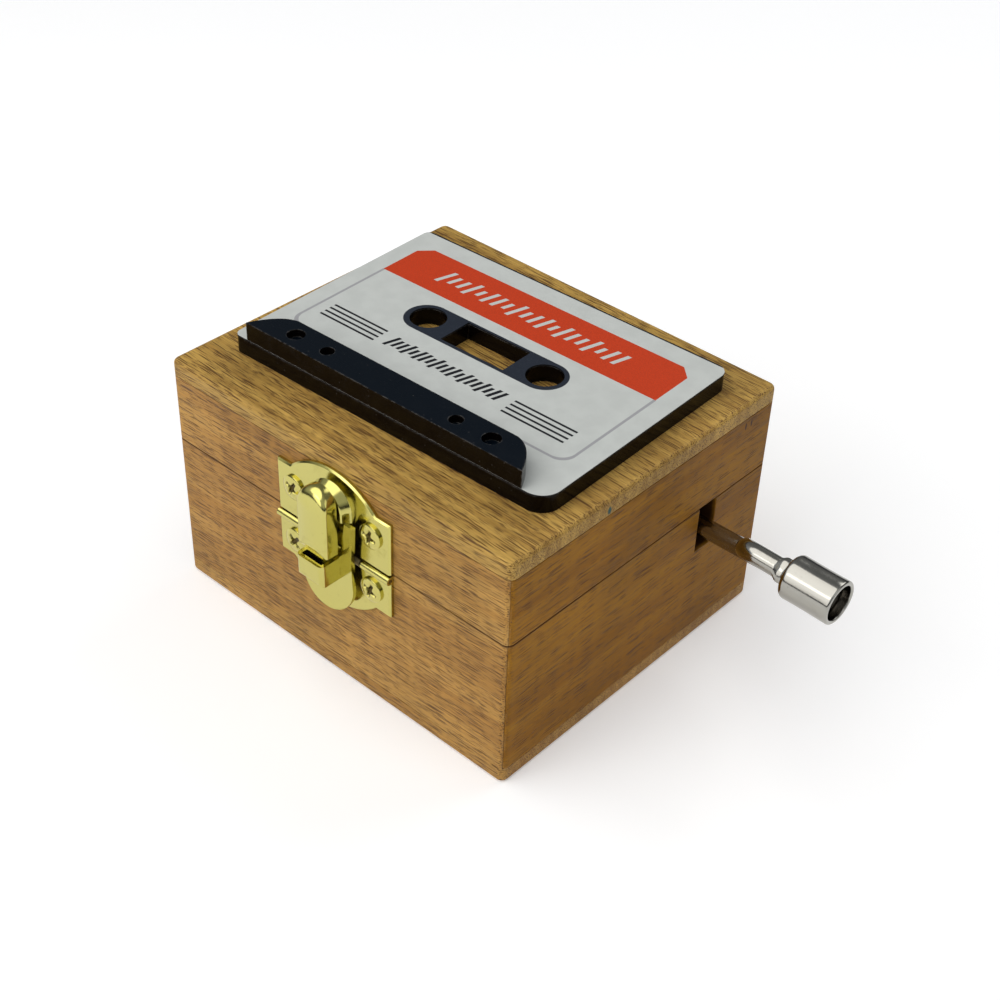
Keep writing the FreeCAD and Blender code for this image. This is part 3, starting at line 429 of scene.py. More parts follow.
woodLook = {
    # painted light: top is the lit copy of the beech, front a half-lit copy and side a darker, shaded copy
    "top": {"pale": rgb(0.50, 0.305, 0.072), "tan": rgb(0.325, 0.178, 0.038), "flecks": 0.74,
            "stretch": (0.62, 1.35, 1.35), "bands": 0.0, "streaks": 0.75, "gloss": 0.2},
    "front": {"pale": rgb(0.455, 0.248, 0.058), "tan": rgb(0.325, 0.155, 0.031), "flecks": 0.62,
              "stretch": (0.8, 1.5, 1.5), "bands": 0.16, "streaks": 0.85, "gloss": 0.2},
    "side": {"pale": rgb(0.30, 0.132, 0.007), "tan": rgb(0.205, 0.080, 0.003), "flecks": 0.32,
             "stretch": (0.9, 1.5, 1.5), "bands": 0.12, "streaks": 0.75, "gloss": 0.12},
    "fleck": rgb(0.085, 0.034, 0.010),
    "glue": rgb(0.10, 0.05, 0.018),
    "wear": rgb(0.50, 0.33, 0.14),
    # painted shade for the inside of the crank's notch
    "soot": rgb(0.022, 0.006, 0.003),
    "spots": ((-0.0090, 0.0362, 0.0005, 0.0008, rgb(0.035, 0.085, 0.075)),   # y, z, half sizes, tint
              (0.0207, 0.0342, 0.0002, 0.0006, rgb(0.05, 0.025, 0.012)),
              (0.0220, 0.0342, 0.0002, 0.0006, rgb(0.05, 0.025, 0.012))),
    "notch": {"X": 13.8, "Y": 20.7, "Half X": 2.1, "Half Y": 3.85, "Corner": 0.2},   # across Y and Z, mm
    "notchStarts": (0.0272, 0.0277),   # from the wall's inner side
    "notchEnds": (0.0319, 0.0312),     # to just short of its outer side
    "joints": ((0.0246, 0.00022, 0.85), (0.0354, 0.00012, 0.35)),   # painted shade along the seams: height, reach, strength
    "lean": (0.035, 0.03),             # the grain's small turns off the board's own length
    "dents": {"Scale": 130.0, "Share": 0.05, "Size": 0.05},
    "relief": 0.00006,
    "edgeRoll": 0.00013,
}


def beechMaterial(name, look, alongY, shift):
    made, tree, shader, coords = newMaterial(name)
    leanY, leanZ = woodLook["lean"]
    turn = (math.pi / 2 if alongY else 0.0) + leanZ
    moved = addNode(tree, "ShaderNodeMapping", {"Vector": coords, "Location": shift,
                                                "Rotation": (0.0, leanY, turn)}).outputs[0]
    grain = useGroup(tree, beechGrain, {"Vector": moved, "Pale": look["pale"], "Tan": look["tan"],
                                        "Fleck": woodLook["fleck"], "Streaks": look["streaks"],
                                        "Flecks": look["flecks"], "Fleck Stretch": look["stretch"],
                                        "Bands": look["bands"]})
    worn = useGroup(tree, edgeWear, {"Reach": 0.0005, "Vector": coords, "Patches": 420.0})["Mask"]
    grime = useGroup(tree, edgeWear, {"Reach": 0.0003, "Vector": moved, "Patches": 700.0})["Mask"]
    colour = stain(tree, grain["Color"], worn, 0.35, woodLook["wear"])
    colour = stain(tree, colour, grime, 0.6, woodLook["glue"])
    # handled patches, a little deeper or paler in tone
    cloud = noise(tree, coords, 55.0, 3.0)
    colour = toned(tree, colour, span(tree, cloud, 0.3, 0.7, 0.88, 1.1))
    # painted shade along the seam between lid and base, and along the seam under the top panel
    across, depth, height = axesOf(tree, coords)
    for level, reach, strength in woodLook["joints"]:
        line = span(tree, apart(tree, height, level), reach, reach * 0.4)
        broken = times(tree, line, span(tree, cloud, 0.25, 0.75, 0.55, 1.0))
        colour = stain(tree, colour, broken, strength, woodLook["fleck"])
    # a drop of old teal paint and two chips near the right side's upper edge
    wall = boxOf("base_right_wall")[1][0]
    for y, z, halfY, halfZ, tint in woodLook["spots"]:
        space = addNode(tree, "ShaderNodeMapping", {"Vector": coords, "Location": (wall, y, z),
                                                    "Scale": (0.0004, halfY, halfZ)},
                        vector_type="TEXTURE").outputs[0]
        far = addNode(tree, "ShaderNodeVectorMath", {0: space}, operation="LENGTH").outputs["Value"]
        ragged = plus(tree, far, span(tree, cloud, 0.3, 0.7, -0.2, 0.2))
        colour = blendColour(tree, span(tree, ragged, 1.1, 0.6), colour, tint)
    # painted shade: the crank's notch is dark inside, as a hole is
    side = addNode(tree, "ShaderNodeCombineXYZ", {0: depth, 1: height}).outputs[0]
    flat = addNode(tree, "ShaderNodeMapping", {"Vector": side, "Scale": (1 / mm, 1 / mm, 1.0)}).outputs[0]
    notch = useGroup(tree, printBox, {"Vector": flat, **woodLook["notch"]})["Mask"]
    deep = times(tree, span(tree, across, *woodLook["notchEnds"]),
                 span(tree, across, *woodLook["notchStarts"]))
    colour = stain(tree, colour, times(tree, notch, deep), 0.88, woodLook["soot"])
    # small dents with dirt in them
    dents = useGroup(tree, specks, {"Vector": coords, **woodLook["dents"]})["Mask"]
    colour = stain(tree, colour, dents, 0.6, woodLook["glue"])
    fill(tree, shader, {"Base Color": colour, "Roughness": grain["Rough"],
                        "Specular IOR Level": look["gloss"]})
    setBump(tree, shader, minus(tree, grain["Height"], times(tree, dents, 3.0)), 0.55, woodLook["relief"])
    return made


def dressWood():
    # each board by its look, a lit or shaded copy of the beech, and whether its grain runs along Y; shift
    # moves the grain on
    pieces = {
        "lid_top_panel": ("top", False), "base_bottom_panel": ("front", False),
        "lid_front_rail": ("front", False), "base_front_wall": ("front", False),
        "lid_back_rail": ("front", False), "base_back_wall": ("front", False),
        "lid_left_rail": ("side", True), "base_left_wall": ("side", True),
        "lid_right_rail": ("side", True), "base_right_wall": ("side", True),
    }
    for number, (node, (kind, alongY)) in enumerate(pieces.items()):
        body = "lid" if node.startswith("lid") else "base"
        shift = (0.013 * number, 0.007 * number, 0.011 * (number // 2))
        finish = beechMaterial("beech_" + node, woodLook[kind], alongY, shift)
        place(softened(node, woodLook["edgeRoll"], 3), body, node, finish)


dressWood()
print("wood dressed")


badgeLook = {
    "turn": math.radians(1.8),
    "paper": rgb(0.53, 0.55, 0.525),
    "red": rgb(0.53, 0.042, 0.006),
    "ink": rgb(0.006, 0.007, 0.010),
    "blueInk": rgb(0.012, 0.017, 0.028),
    "blueDots": rgb(0.05, 0.06, 0.08),
    "grey": rgb(0.33, 0.33, 0.34),
    "dust": rgb(0.16, 0.15, 0.14),
    "band": (-0.1, 11.6, 25.0, 4.6),       # centre x, centre y, half sizes, mm
    "bandChamfer": 1.9,
    "frameLine": (-0.1, 2.0, 25.1, 14.4, 2.2),
    "frameWidth": 0.42,
    "bareEdge": 19.72,                     # the plate shows behind the sheet's back edge
    "stadium": (-0.4, 1.4, 14.2, 3.45),
    "stripes": ((-17.9, -5.1, 5.2), (16.6, -5.9, 5.3)),
    "stripeCount": 4,
    "stripePitch": 0.97,
    "stripeHalf": 0.19,
    "lightTicks": {"X": -0.6, "Y": 11.6, "Half Length": 17.0, "Pitch": 1.7, "Bar": 0.40,
                   "Half Height": 1.35, "Swell": 0.5, "Slant": 0.3},
    "darkTicks": {"X": -0.7, "Y": -6.5, "Half Length": 10.4, "Pitch": 1.04, "Bar": 0.56,
                  "Half Height": 1.1, "Swell": 0.3, "Slant": 0.3},
    "wallTint": rgb(0.0022, 0.0012, 0.0009),   # black sheet: cut sides, top with a painted sky reflection, rubbed edge
    "topTint": rgb(0.0010, 0.0036, 0.0075),
    "edgeTint": rgb(0.15, 0.14, 0.13),
    "edgeRoll": 0.00008,
}


def badgePlace(tree, coords):
    # the badge's own millimetre coordinates: moved to its centre and turned with it
    low, high = boxOf("cassette_plate")
    centre = (low + high) / 2
    return addNode(tree, "ShaderNodeMapping", {"Vector": coords, "Location": (centre[0], centre[1], high[2]),
                                               "Rotation": (0.0, 0.0, badgeLook["turn"]),
                                               "Scale": (mm, mm, mm)}, vector_type="TEXTURE").outputs[0]


def printedFace():
    made, tree, shader, coords = newMaterial("printedFace")
    look = badgeLook
    flat = badgePlace(tree, coords)
    across, along = axesOf(tree, flat)[:2]

    def boxMask(x, y, halfX, halfY, corner=0.0):
        return useGroup(tree, printBox, {"Vector": flat, "X": x, "Y": y, "Half X": halfX, "Half Y": halfY,
                                         "Corner": corner})["Mask"]

    inkGrain = noise(tree, flat, 6.0, 2.0)
    colour = toned(tree, look["paper"], span(tree, noise(tree, flat, 0.35, 3.0), 0.3, 0.7, 0.96, 1.03))
    # grey outline of the label, in front of the band
    x, y, halfX, halfY, corner = look["frameLine"]
    inset = look["frameWidth"]
    line = minus(tree, boxMask(x, y, halfX, halfY, corner),
                 boxMask(x, y, halfX - inset, halfY - inset, corner))
    x, y, halfX, halfY = look["band"]
    below = span(tree, along, y - halfY + 0.05, y - halfY)
    colour = stain(tree, colour, line, below, look["grey"])
    # red band with its two back corners cut at 45 degrees
    reach = plus(tree, apart(tree, across, x), along)
    corner = halfX + y + halfY - look["bandChamfer"]
    band = times(tree, boxMask(x, y, halfX, halfY), span(tree, reach, corner + 0.04, corner - 0.04))
    red = toned(tree, look["red"], span(tree, inkGrain, 0.3, 0.7, 0.86, 1.1))
    colour = blendColour(tree, band, colour, red)
    light = useGroup(tree, tickRow, {"Vector": flat, **look["lightTicks"]})["Mask"]
    colour = blendColour(tree, light, colour, look["paper"])
    # black marks: two sets of stripes and a row of ticks
    marks = useGroup(tree, tickRow, {"Vector": flat, **look["darkTicks"]})["Mask"]
    for x, y, half in look["stripes"]:
        for number in range(look["stripeCount"]):
            stripe = boxMask(x, y - number * look["stripePitch"], half, look["stripeHalf"])
            marks = larger(tree, marks, stripe)
    colour = blendColour(tree, marks, colour, look["ink"])
    # dark stadium round the hub holes and the window, speckled like a coarse print
    x, y, halfX, halfY = look["stadium"]
    dots = useGroup(tree, specks, {"Vector": flat, "Scale": 5.0, "Share": 0.5, "Size": 0.5})["Mask"]
    dark = stain(tree, look["blueInk"], dots, 0.5, look["blueDots"])
    colour = blendColour(tree, boxMask(x, y, halfX, halfY, halfY), colour, dark)
    # a few dark dust marks
    dust = useGroup(tree, specks, {"Vector": flat, "Scale": 0.9, "Share": 0.14, "Size": 0.06})["Mask"]
    colour = stain(tree, colour, dust, 0.5, look["dust"])
    # painted shade: the sheet's cut sides are painted black, and a thin line along its back edge is black
    # where the plate shows
    side = span(tree, lookingUp(tree), 0.8, 0.5)
    bare = span(tree, along, look["bareEdge"] - 0.03, look["bareEdge"] + 0.03)
    colour = blendColour(tree, larger(tree, side, bare), colour, look["ink"])
    fill(tree, shader, {"Base Color": colour, "Roughness": span(tree, inkGrain, 0.3, 0.7, 0.34, 0.46),
                        "Specular IOR Level": 0.3})
    setBump(tree, shader, plus(tree, inkGrain, times(tree, marks, 0.5)), 0.12, 0.00002)
    return made


def blackAcrylic():
    made, tree, shader, coords = newMaterial("blackAcrylic")
    look = badgeLook
    upward = span(tree, lookingUp(tree), 0.6, 0.9)
    # dust in two sizes, then pale rubbed edges
    speck = useGroup(tree, specks, {"Vector": coords, "Scale": 1500.0, "Share": 0.13, "Size": 0.2})["Mask"]
    fine = useGroup(tree, specks, {"Vector": coords, "Scale": 4200.0, "Share": 0.3, "Size": 0.3})["Mask"]
    dust = larger(tree, times(tree, speck, 0.3), times(tree, fine, 0.10))
    # the top is painted with a bluish reflection of the sky, the walls stay plain black
    colour = blendColour(tree, upward, look["wallTint"], look["topTint"])
    colour = blendColour(tree, dust, colour, look["dust"])
    edge = useGroup(tree, edgeWear, {"Reach": 0.0003, "Vector": coords, "Patches": 1500.0})["Mask"]
    colour = stain(tree, colour, edge, 0.5, look["edgeTint"])
    marks = useGroup(tree, smudge, {"Vector": coords, "Low": 0.10, "High": 0.34})
    rough = plus(tree, marks["Rough"], times(tree, upward, 0.16))
    sawn = noise(tree, vecs(tree, "MULTIPLY", badgePlace(tree, coords), (0.25, 0.25, 6.0)), 1.0, 2.0)
    fill(tree, shader, {"Base Color": colour, "Roughness": rough, "Specular IOR Level": 0.13})
    setBump(tree, shader, sawn, 0.25, 0.00004)
    return made


def dressBadge():
    black = blackAcrylic()
    for node in ("cassette_plate", "cassette_bar"):
        place(softened(node, badgeLook["edgeRoll"]), "lid", node, black)
    face = frame["nodes"]["cassette_face"].data
    face.materials.clear()
    face.materials.append(printedFace())


dressBadge()
print("badge dressed")


metalLook = {
    "catch": {"pale": rgb(0.56, 0.51, 0.155), "deep": rgb(0.30, 0.24, 0.035), "low": 0.12, "high": 0.25},
    "hinge": {"pale": rgb(0.70, 0.54, 0.22), "deep": rgb(0.42, 0.29, 0.08), "low": 0.24, "high": 0.42},
    "barrel": {"pale": rgb(0.80, 0.64, 0.30), "deep": rgb(0.52, 0.37, 0.13), "low": 0.16, "high": 0.32},
    "nickel": {"pale": rgb(0.36, 0.35, 0.315), "deep": rgb(0.14, 0.13, 0.105), "low": 0.12, "high": 0.24},
    "spring": {"pale": rgb(0.16, 0.13, 0.06), "deep": rgb(0.07, 0.055, 0.03), "low": 0.3, "high": 0.5},
    "steel": {"pale": rgb(0.56, 0.56, 0.57), "deep": rgb(0.33, 0.31, 0.29), "low": 0.22, "high": 0.42},
    "zinc": {"pale": rgb(0.60, 0.60, 0.58), "deep": rgb(0.36, 0.35, 0.33), "low": 0.32, "high": 0.52},
    "lead": {"pale": rgb(0.24, 0.245, 0.26), "deep": rgb(0.12, 0.12, 0.13), "low": 0.5, "high": 0.7},
}
# painted shade laid in pressed marks by their depth: the screws' crosses and the knob's cup
recessShade = rgb(0.035, 0.018, 0.005)


def metalMaterial(name, look):
    made, tree, shader, coords = newMaterial(name)
    marks = useGroup(tree, smudge, {"Vector": coords, "Low": look["low"], "High": look["high"]})
    edge = useGroup(tree, edgeWear, {"Reach": 0.00025, "Vector": coords, "Patches": 1300.0})["Mask"]
    colour = stain(tree, look["pale"], marks["Grime"], 0.35, look["deep"])
    colour = stain(tree, colour, edge, 0.5, look["deep"])
    # painted shade in pressed marks, by the depth stored on the mesh, and a few dull specks
    sunk = addNode(tree, "ShaderNodeAttribute", {}, attribute_name="recess").outputs["Fac"]
    colour = stain(tree, colour, sunk, 0.93, recessShade)
    spots = useGroup(tree, specks, {"Vector": coords, "Scale": 900.0, "Share": 0.1, "Size": 0.16})["Mask"]
    colour = stain(tree, colour, spots, 0.4, look["deep"])
    fill(tree, shader, {"Base Color": colour, "Roughness": marks["Rough"], "Metallic": 1.0})
    setBump(tree, shader, marks["Height"], 0.3, 0.00001)
    return made


finishes = {key: metalMaterial(key + "Metal", look) for key, look in metalLook.items()}
print("metals mixed")


crankShape = {
    "radius": 1.4 * mm,
    "reach": 13.0 * mm,         # wall to the arm
    "bend": 3.0 * mm,
    "handle": 14.3 * mm,        # arm to the end of the rod
    "earsAt": 7.0 * mm,         # arm to the middle of the pressed ears
    "earHalf": 0.72 * mm,
    "earWide": 1.27,            # shares of the rod's radius
    "earThin": 0.72,
    "rivet": 2.0 * mm,
    "rivetHead": ((-0.9, 0.7), (-0.64, 0.7), (-0.6, 0.9), (-0.52, 1.0), (-0.3, 1.0), (-0.14, 0.97),
                  (-0.04, 0.88), (0.0, 0.75), (0.0, 0.01)),   # mm from the tip, share of the rivet's radius
    "steps": (24, 20, 12, 20, 110),   # rings on shaft, bend, arm, bend and handle
    "sides": 40,
}


def crankRod():
    # a circle of radius r carried along shaft, bend, arm, bend and handle; at the ears it is
    # pressed to an oval, w = 1 + (wide - 1) exp(-((s - s0) / h)^4), and its end is a rivet head
    shape = crankShape
    r, bend, sides = shape["radius"], shape["bend"], shape["sides"]
    shaft, along = jointOf("crank_turn")[0], np.array([1.0, 0.0, 0.0])
    handle, axis = jointOf("knob_spin")
    armX = boxOf("base_right_wall")[1][0] + shape["reach"]
    start = np.array([boxOf("crank_rod")[0][0], shaft[1], shaft[2]])
    corner1 = np.array([armX, shaft[1], shaft[2]])
    corner2 = handle - axis * (handle[0] - armX) / axis[0]
    arm = (corner2 - corner1) / np.linalg.norm(corner2 - corner1)
    tip = corner2 + axis * shape["handle"]

    def line(a, b, count):
        t = np.linspace(0, 1, count, endpoint=False)[:, None]
        return a + (b - a) * t, np.repeat([(b - a) / np.linalg.norm(b - a)], count, 0)

    def arc(corner, into, outOf, count):
        # quarter turn of radius bend whose tangents meet at the corner
        t = np.linspace(0, math.pi / 2, count, endpoint=False)[:, None]
        centre = corner - into * bend + outOf * bend
        points = centre + bend * (np.sin(t) * into - np.cos(t) * outOf)
        return points, np.cos(t) * into + np.sin(t) * outOf

    # the last stretch is the spread rivet head with a rolled rim
    headAt, headShare = np.array(shape["rivetHead"]).T
    headAt = headAt * mm
    count = shape["steps"]
    runs = [line(start, corner1 - along * bend, count[0]), arc(corner1, along, arm, count[1]),
            line(corner1 + arm * bend, corner2 - arm * bend, count[2]), arc(corner2, arm, axis, count[3]),
            line(corner2 + axis * bend, tip + axis * headAt[0], count[4])]
    points = np.vstack([run[0] for run in runs] + [tip + axis * headAt[:, None]])
    tangents = np.vstack([run[1] for run in runs] + [np.repeat([axis], len(headAt), 0)])
    scale = np.ones(len(points))
    scale[-len(headAt):] = headShare * shape["rivet"] / r
    onHandle = np.arange(len(points)) >= sum(count[:3])
    across = np.where(onHandle[:, None], np.cross(axis, arm), np.cross(along, arm))
    normal = np.cross(across, tangents)
    travel = (points - corner2) @ axis
    pressed = np.exp(-((travel - shape["earsAt"]) / shape["earHalf"]) ** 4) * onHandle
    wide = r * scale * (1 + (shape["earWide"] - 1) * pressed)
    thin = r * scale * (1 + (shape["earThin"] - 1) * pressed)
    theta = np.linspace(0, 2 * math.pi, sides, endpoint=False)[None, :, None]
    rings = (points[:, None, :] + thin[:, None, None] * np.cos(theta) * normal[:, None, :]
             + wide[:, None, None] * np.sin(theta) * across[:, None, :])
    # the shaft's flat end is a fan about its middle
    rows, k = len(points), np.arange(sides)
    middle = np.full(sides, rows * sides)
    fan = np.stack([k, middle, middle, (k + 1) % sides], -1)
    piece = meshFrom("crankRod", np.vstack([rings.reshape(-1, 3), [points[0]]]),
                     np.vstack([gridQuads(rows, sides, wrapCols=True), fan]))
    closeUp(piece)
    smooth(piece, 40)
    place(piece, "crank", "crank_rod", finishes["nickel"])


def revolved(name, profile, centre, axis, sides):
    # a closed profile of (along, radius) pairs carried round an axis through centre
    side = np.cross(axis, (0.0, 0.0, 1.0))
    side /= np.linalg.norm(side)
    other = np.cross(axis, side)
    theta = np.linspace(0, 2 * math.pi, sides, endpoint=False)
    spoke = np.cos(theta)[:, None] * side + np.sin(theta)[:, None] * other
    verts = centre + profile[:, 0][:, None, None] * axis + profile[:, 1][:, None, None] * spoke
    piece = meshFrom(name, verts.reshape(-1, 3), gridQuads(len(profile), sides, wrapRows=True, wrapCols=True))
    closeUp(piece)
    return piece


def roundedCorner(along, out, radius, start, end, count=8):
    # arc of a profile about (along, out), from one angle to another in degrees
    t = np.radians(np.linspace(start, end, count))
    return np.stack([along + radius * np.cos(t), out + radius * np.sin(t)], -1)


knobShape = {
    "length": 7.5 * mm,
    "radius": 3.1 * mm,
    "bore": 1.45 * mm,
    "cup": 2.45 * mm,
    "depth": 2.2 * mm,
    "round": 0.7 * mm,
    "rim": 0.3 * mm,
    "dish": 0.03 * mm,          # the grip is turned a little slimmer than its ends
    "cupShade": 0.75,           # painted shade inside the cup
    "sides": 72,
}


def crankKnob():
    # sleeve: bore, rounded inner end, grip with waist r = outer - dish sin(pi t), rounded rim, open cup
    shape = knobShape
    length, outer, cup, bore = shape["length"], shape["radius"], shape["cup"], shape["bore"]
    roll, rim, floor = shape["round"], shape["rim"], shape["length"] - shape["depth"]
    grip = np.linspace(roll * 1.3, length - rim * 3, 9)
    waist = outer - shape["dish"] * np.sin(np.linspace(0, math.pi, 9))
    profile = np.vstack([
        [[0, bore], [0, outer - roll]],
        roundedCorner(roll, outer - roll, roll, 180, 90),
        np.stack([grip, waist], -1),
        roundedCorner(length - rim, outer - rim, rim, 90, 0),
        roundedCorner(length - rim * 0.7, cup + rim * 0.7, rim * 0.7, 0, -90, 6),
        [[length - rim * 1.6, cup], [floor + 0.25 * mm, cup], [floor + 0.06 * mm, cup - 0.06 * mm],
         [floor, cup - 0.25 * mm], [floor, bore], [length / 2, bore]]])
    centre, axis = jointOf("knob_spin")
    piece = revolved("crankKnob", profile, centre, axis, shape["sides"])
    # the points inside the cup take its shade
    at = np.empty(len(piece.data.vertices) * 3)
    piece.data.vertices.foreach_get("co", at)
    offset = at.reshape(-1, 3) - centre
    travel = offset @ axis
    radius = np.linalg.norm(offset - travel[:, None] * axis, axis=1)
    near = 0.01 * mm
    inside = (travel > floor - near) & (radius < cup + near) & (travel < length - rim)
    storeRecess(piece, shape["cupShade"] * inside)
    smooth(piece, 40)
    place(piece, "knob", "crank_knob", finishes["nickel"])


crankRod()
crankKnob()
print("crank made")


catchShape = {
    "crown": 0.22 * mm,         # bulge of the hook's front
    "sideRoll": 0.5 * mm,
    "archRoll": 1.7 * mm,
    "backRoll": 0.12 * mm,
    "heel": 0.4 * mm,           # lower end of the face, above the seam
    "footHalf": 1.8 * mm,
    "footDepth": 1.9 * mm,
    "footTop": 0.5 * mm,        # how far the foot runs up behind the face
    "edgeRoll": 0.2 * mm,
    "bossRoll": 0.75 * mm,
    "bossFrom": 0.9 * mm,       # edges further off the wall than this belong to the boss
    "plateShare": 0.22,         # share of the boss's roll on the plate's own edges
    "rollSteps": 4,
    "headRadius": 1.9 * mm,
    "headHeight": 0.6 * mm,
    "lidTurns": (0.5, 0.2),     # how each screw's cross is turned
    "baseTurns": (0.75, 0.35),
}


def tombstoneRing(halfWidth, bottom, top, count=40, foot=16, side=16):
    # outline of a round-headed upright and its outward directions: right side, arch, left side, foot
    shoulder = top - halfWidth
    t = np.linspace(0, math.pi, count)
    rise = np.linspace(bottom, shoulder, side, endpoint=False)
    run = np.linspace(-halfWidth, halfWidth, foot)
    points = np.vstack([np.stack([np.full(side, halfWidth), rise], -1),
                        np.stack([halfWidth * np.cos(t), shoulder + halfWidth * np.sin(t)], -1),
                        np.stack([np.full(side, -halfWidth), rise[::-1]], -1)[1:],
                        np.stack([run, np.full(foot, bottom)], -1)[1:-1]])
    outward = np.vstack([np.repeat([[1.0, 0.0]], side, 0), np.stack([np.cos(t), np.sin(t)], -1),
                         np.repeat([[-1.0, 0.0]], side - 1, 0), np.repeat([[0.0, -1.0]], foot - 2, 0)])
    outward[0] = (0.7, -0.7)
    outward[side + count + side - 2] = (-0.7, -0.7)
    return points, outward


def catchHook():
    # rings round a tombstone: back, side, then a quarter round whose radius grows from the sides
    # to the arch, r = sideRoll + (archRoll - sideRoll) s^1.5, then rings drawn in to a spine
    shape = catchShape
    low, high = boxOf("latch_hook")
    seam = boxOf("base_front_wall")[1][2]
    centre, half = (low[0] + high[0]) / 2, (high[0] - low[0]) / 2
    bottom, top = seam + shape["heel"], high[2]
    back, front = high[1], low[1] + shape["crown"]
    points, outward = tombstoneRing(half, bottom, top)
    lift = np.clip(outward[:, 1], 0, 1)
    roll = shape["sideRoll"] + (shape["archRoll"] - shape["sideRoll"]) * lift ** 1.5
    spine = np.stack([np.zeros(len(points)),
                      np.clip(points[:, 1], bottom + half * 0.5, top - half * 1.25)], -1)

    def ring(flat, depth):
        return np.stack([centre + flat[:, 0], np.zeros(len(flat)) + depth, flat[:, 1]], -1)

    backRoll = shape["backRoll"]
    rings = [ring(points - outward * inset, depth)
             for inset, depth in ((0.6 * mm, back), (backRoll, back), (0.0, back - backRoll))]
    for angle in np.radians(np.linspace(0, 90, 12)):
        inset = roll * (1 - math.cos(angle))
        rings.append(ring(points - outward * inset[:, None], front + roll * (1 - math.sin(angle))))
    inner = points - outward * roll[:, None]
    for share in np.linspace(0.12, 1.0, 9):
        rings.append(ring(inner + (spine - inner) * share, front - shape["crown"] * (1 - (1 - share) ** 2)))
    rings = np.array(rings)
    rows, cols = rings.shape[:2]
    piece = meshFrom("latchHook", rings.reshape(-1, 3), gridQuads(rows, cols, wrapCols=True))
    closeUp(piece)
    # the foot: a narrow block behind the face, down into the lever's channel
    footLow = np.array([centre - shape["footHalf"], back - shape["footDepth"], low[2]])
    footHigh = np.array([centre + shape["footHalf"], back, bottom + shape["footTop"]])
    bm = bmesh.new()
    bm.from_mesh(piece.data)
    made = bmesh.ops.create_cube(bm, size=1.0)["verts"]
    bmesh.ops.scale(bm, verts=made, vec=footHigh - footLow)
    bmesh.ops.translate(bm, verts=made, vec=(footLow + footHigh) / 2)
    bm.to_mesh(piece.data)
    bm.free()
    smooth(piece, 40)
    place(piece, "latch", "latch_hook", finishes["catch"])


screwShape = {
    "rows": 34,
    "cols": 72,
    "crowding": 0.85,           # draws the rings towards the rim
    "rimShare": 0.3,            # height of the head's rim
    "crossReach": 0.6,          # shares of the head's radius
    "crossHalf": 0.12,
    "crossFlare": 0.13,         # the cross is wider at its middle
    "crossDepth": 0.85,
}


def makeScrews(node, centres, sign, headRadius, height, finish, body, turns):
    # each head is a low dome over a polar grid, z = h (0.3 + 0.7 sqrt(1 - (0.96 r)^3)), with a
    # cross pressed in that fades out at 0.6 of the radius; shanks stay hidden in the wood
    shape = screwShape
    low, high = boxOf(node)
    outside = high[1] if sign > 0 else low[1]
    rows, cols, rim = shape["rows"], shape["cols"], shape["rimShare"]
    theta = np.linspace(0, 2 * math.pi, cols, endpoint=False)
    rr, tt = np.meshgrid(np.linspace(0.0, 1.0, rows) ** shape["crowding"], theta, indexing="ij")
    arm = shape["crossHalf"] + shape["crossFlare"] * np.clip(1 - 2.6 * rr, 0, 1)
    dome = height * (rim + (1 - rim) * np.sqrt(np.clip(1 - (0.96 * rr) ** 3, 0, 1)))

    def crossArm(over, along):
        # one inside the arm, falling off steeply at its sides and its end
        sides = 1 + np.exp((np.abs(over) - arm) * 70)
        return 1 / sides / (1 + np.exp((np.abs(along) - shape["crossReach"]) * 50))

    verts, quads, shade = [], [], []
    for number, centre in enumerate(centres):
        x, y = rr * np.cos(tt + turns[number]), rr * np.sin(tt + turns[number])
        sink = np.maximum(crossArm(y, x), crossArm(x, y))
        # the dome's rings, then its skirt and a smaller ring just behind the plate
        share = np.vstack([rr, np.full((1, cols), 1.0), np.full((1, cols), 0.3)])
        rise = np.vstack([dome - height * sink * (shape["crossDepth"] - 0.5 * rr) - height,
                          np.full((1, cols), -height), np.full((1, cols), -1.05 * height)])
        points = np.stack([centre[0] + headRadius * share * np.cos(theta), outside + sign * rise,
                           centre[1] + headRadius * share * np.sin(theta)], -1)
        verts.append(points.reshape(-1, 3))
        quads.append(gridQuads(rows + 2, cols, wrapCols=True, start=number * (rows + 2) * cols))
        shade.append(np.vstack([sink, np.zeros((2, cols))]).ravel())
    piece = meshFrom(pieceName(node), np.vstack(verts), np.vstack(quads))
    storeRecess(piece, np.concatenate(shade))
    closeUp(piece)
    smooth(piece, 50)
    place(piece, body, node, finish)


def dressCatch():
    shape, brass = catchShape, finishes["catch"]
    bossFrom = boxOf("latch_base_plate")[1][1] - shape["bossFrom"]

    def lidPlateShare(middle):
        return 1.0 if middle.y < bossFrom else shape["plateShare"]

    for node, body, width, weigh in (("latch_lid_plate", "lid", shape["bossRoll"], lidPlateShare),
                                     ("latch_base_plate", "base", shape["edgeRoll"], None),
                                     ("latch_lever", "latch", shape["edgeRoll"], None)):
        place(softened(node, width, shape["rollSteps"], weigh), body, node, brass)
    catchHook()
    radius, height = shape["headRadius"], shape["headHeight"]
    for body, turns in (("lid", shape["lidTurns"]), ("base", shape["baseTurns"])):
        node = "latch_" + body + "_screws"
        low, high = boxOf(node)
        level = (low[2] + high[2]) / 2
        centres = [(low[0] + radius, level), (high[0] - radius, level)]
        makeScrews(node, centres, -1, radius, height, brass, body, turns)


dressCatch()
print("catch made")


hingeShape = {
    "edgeRoll": 0.12 * mm,
    "headRadius": 1.2 * mm,
    "headHeight": 0.5 * mm,
    "lidTurns": (0.1, 0.9, 0.5, 1.2),
    "baseTurns": (0.8, 0.3, 1.1, 0.0),
}


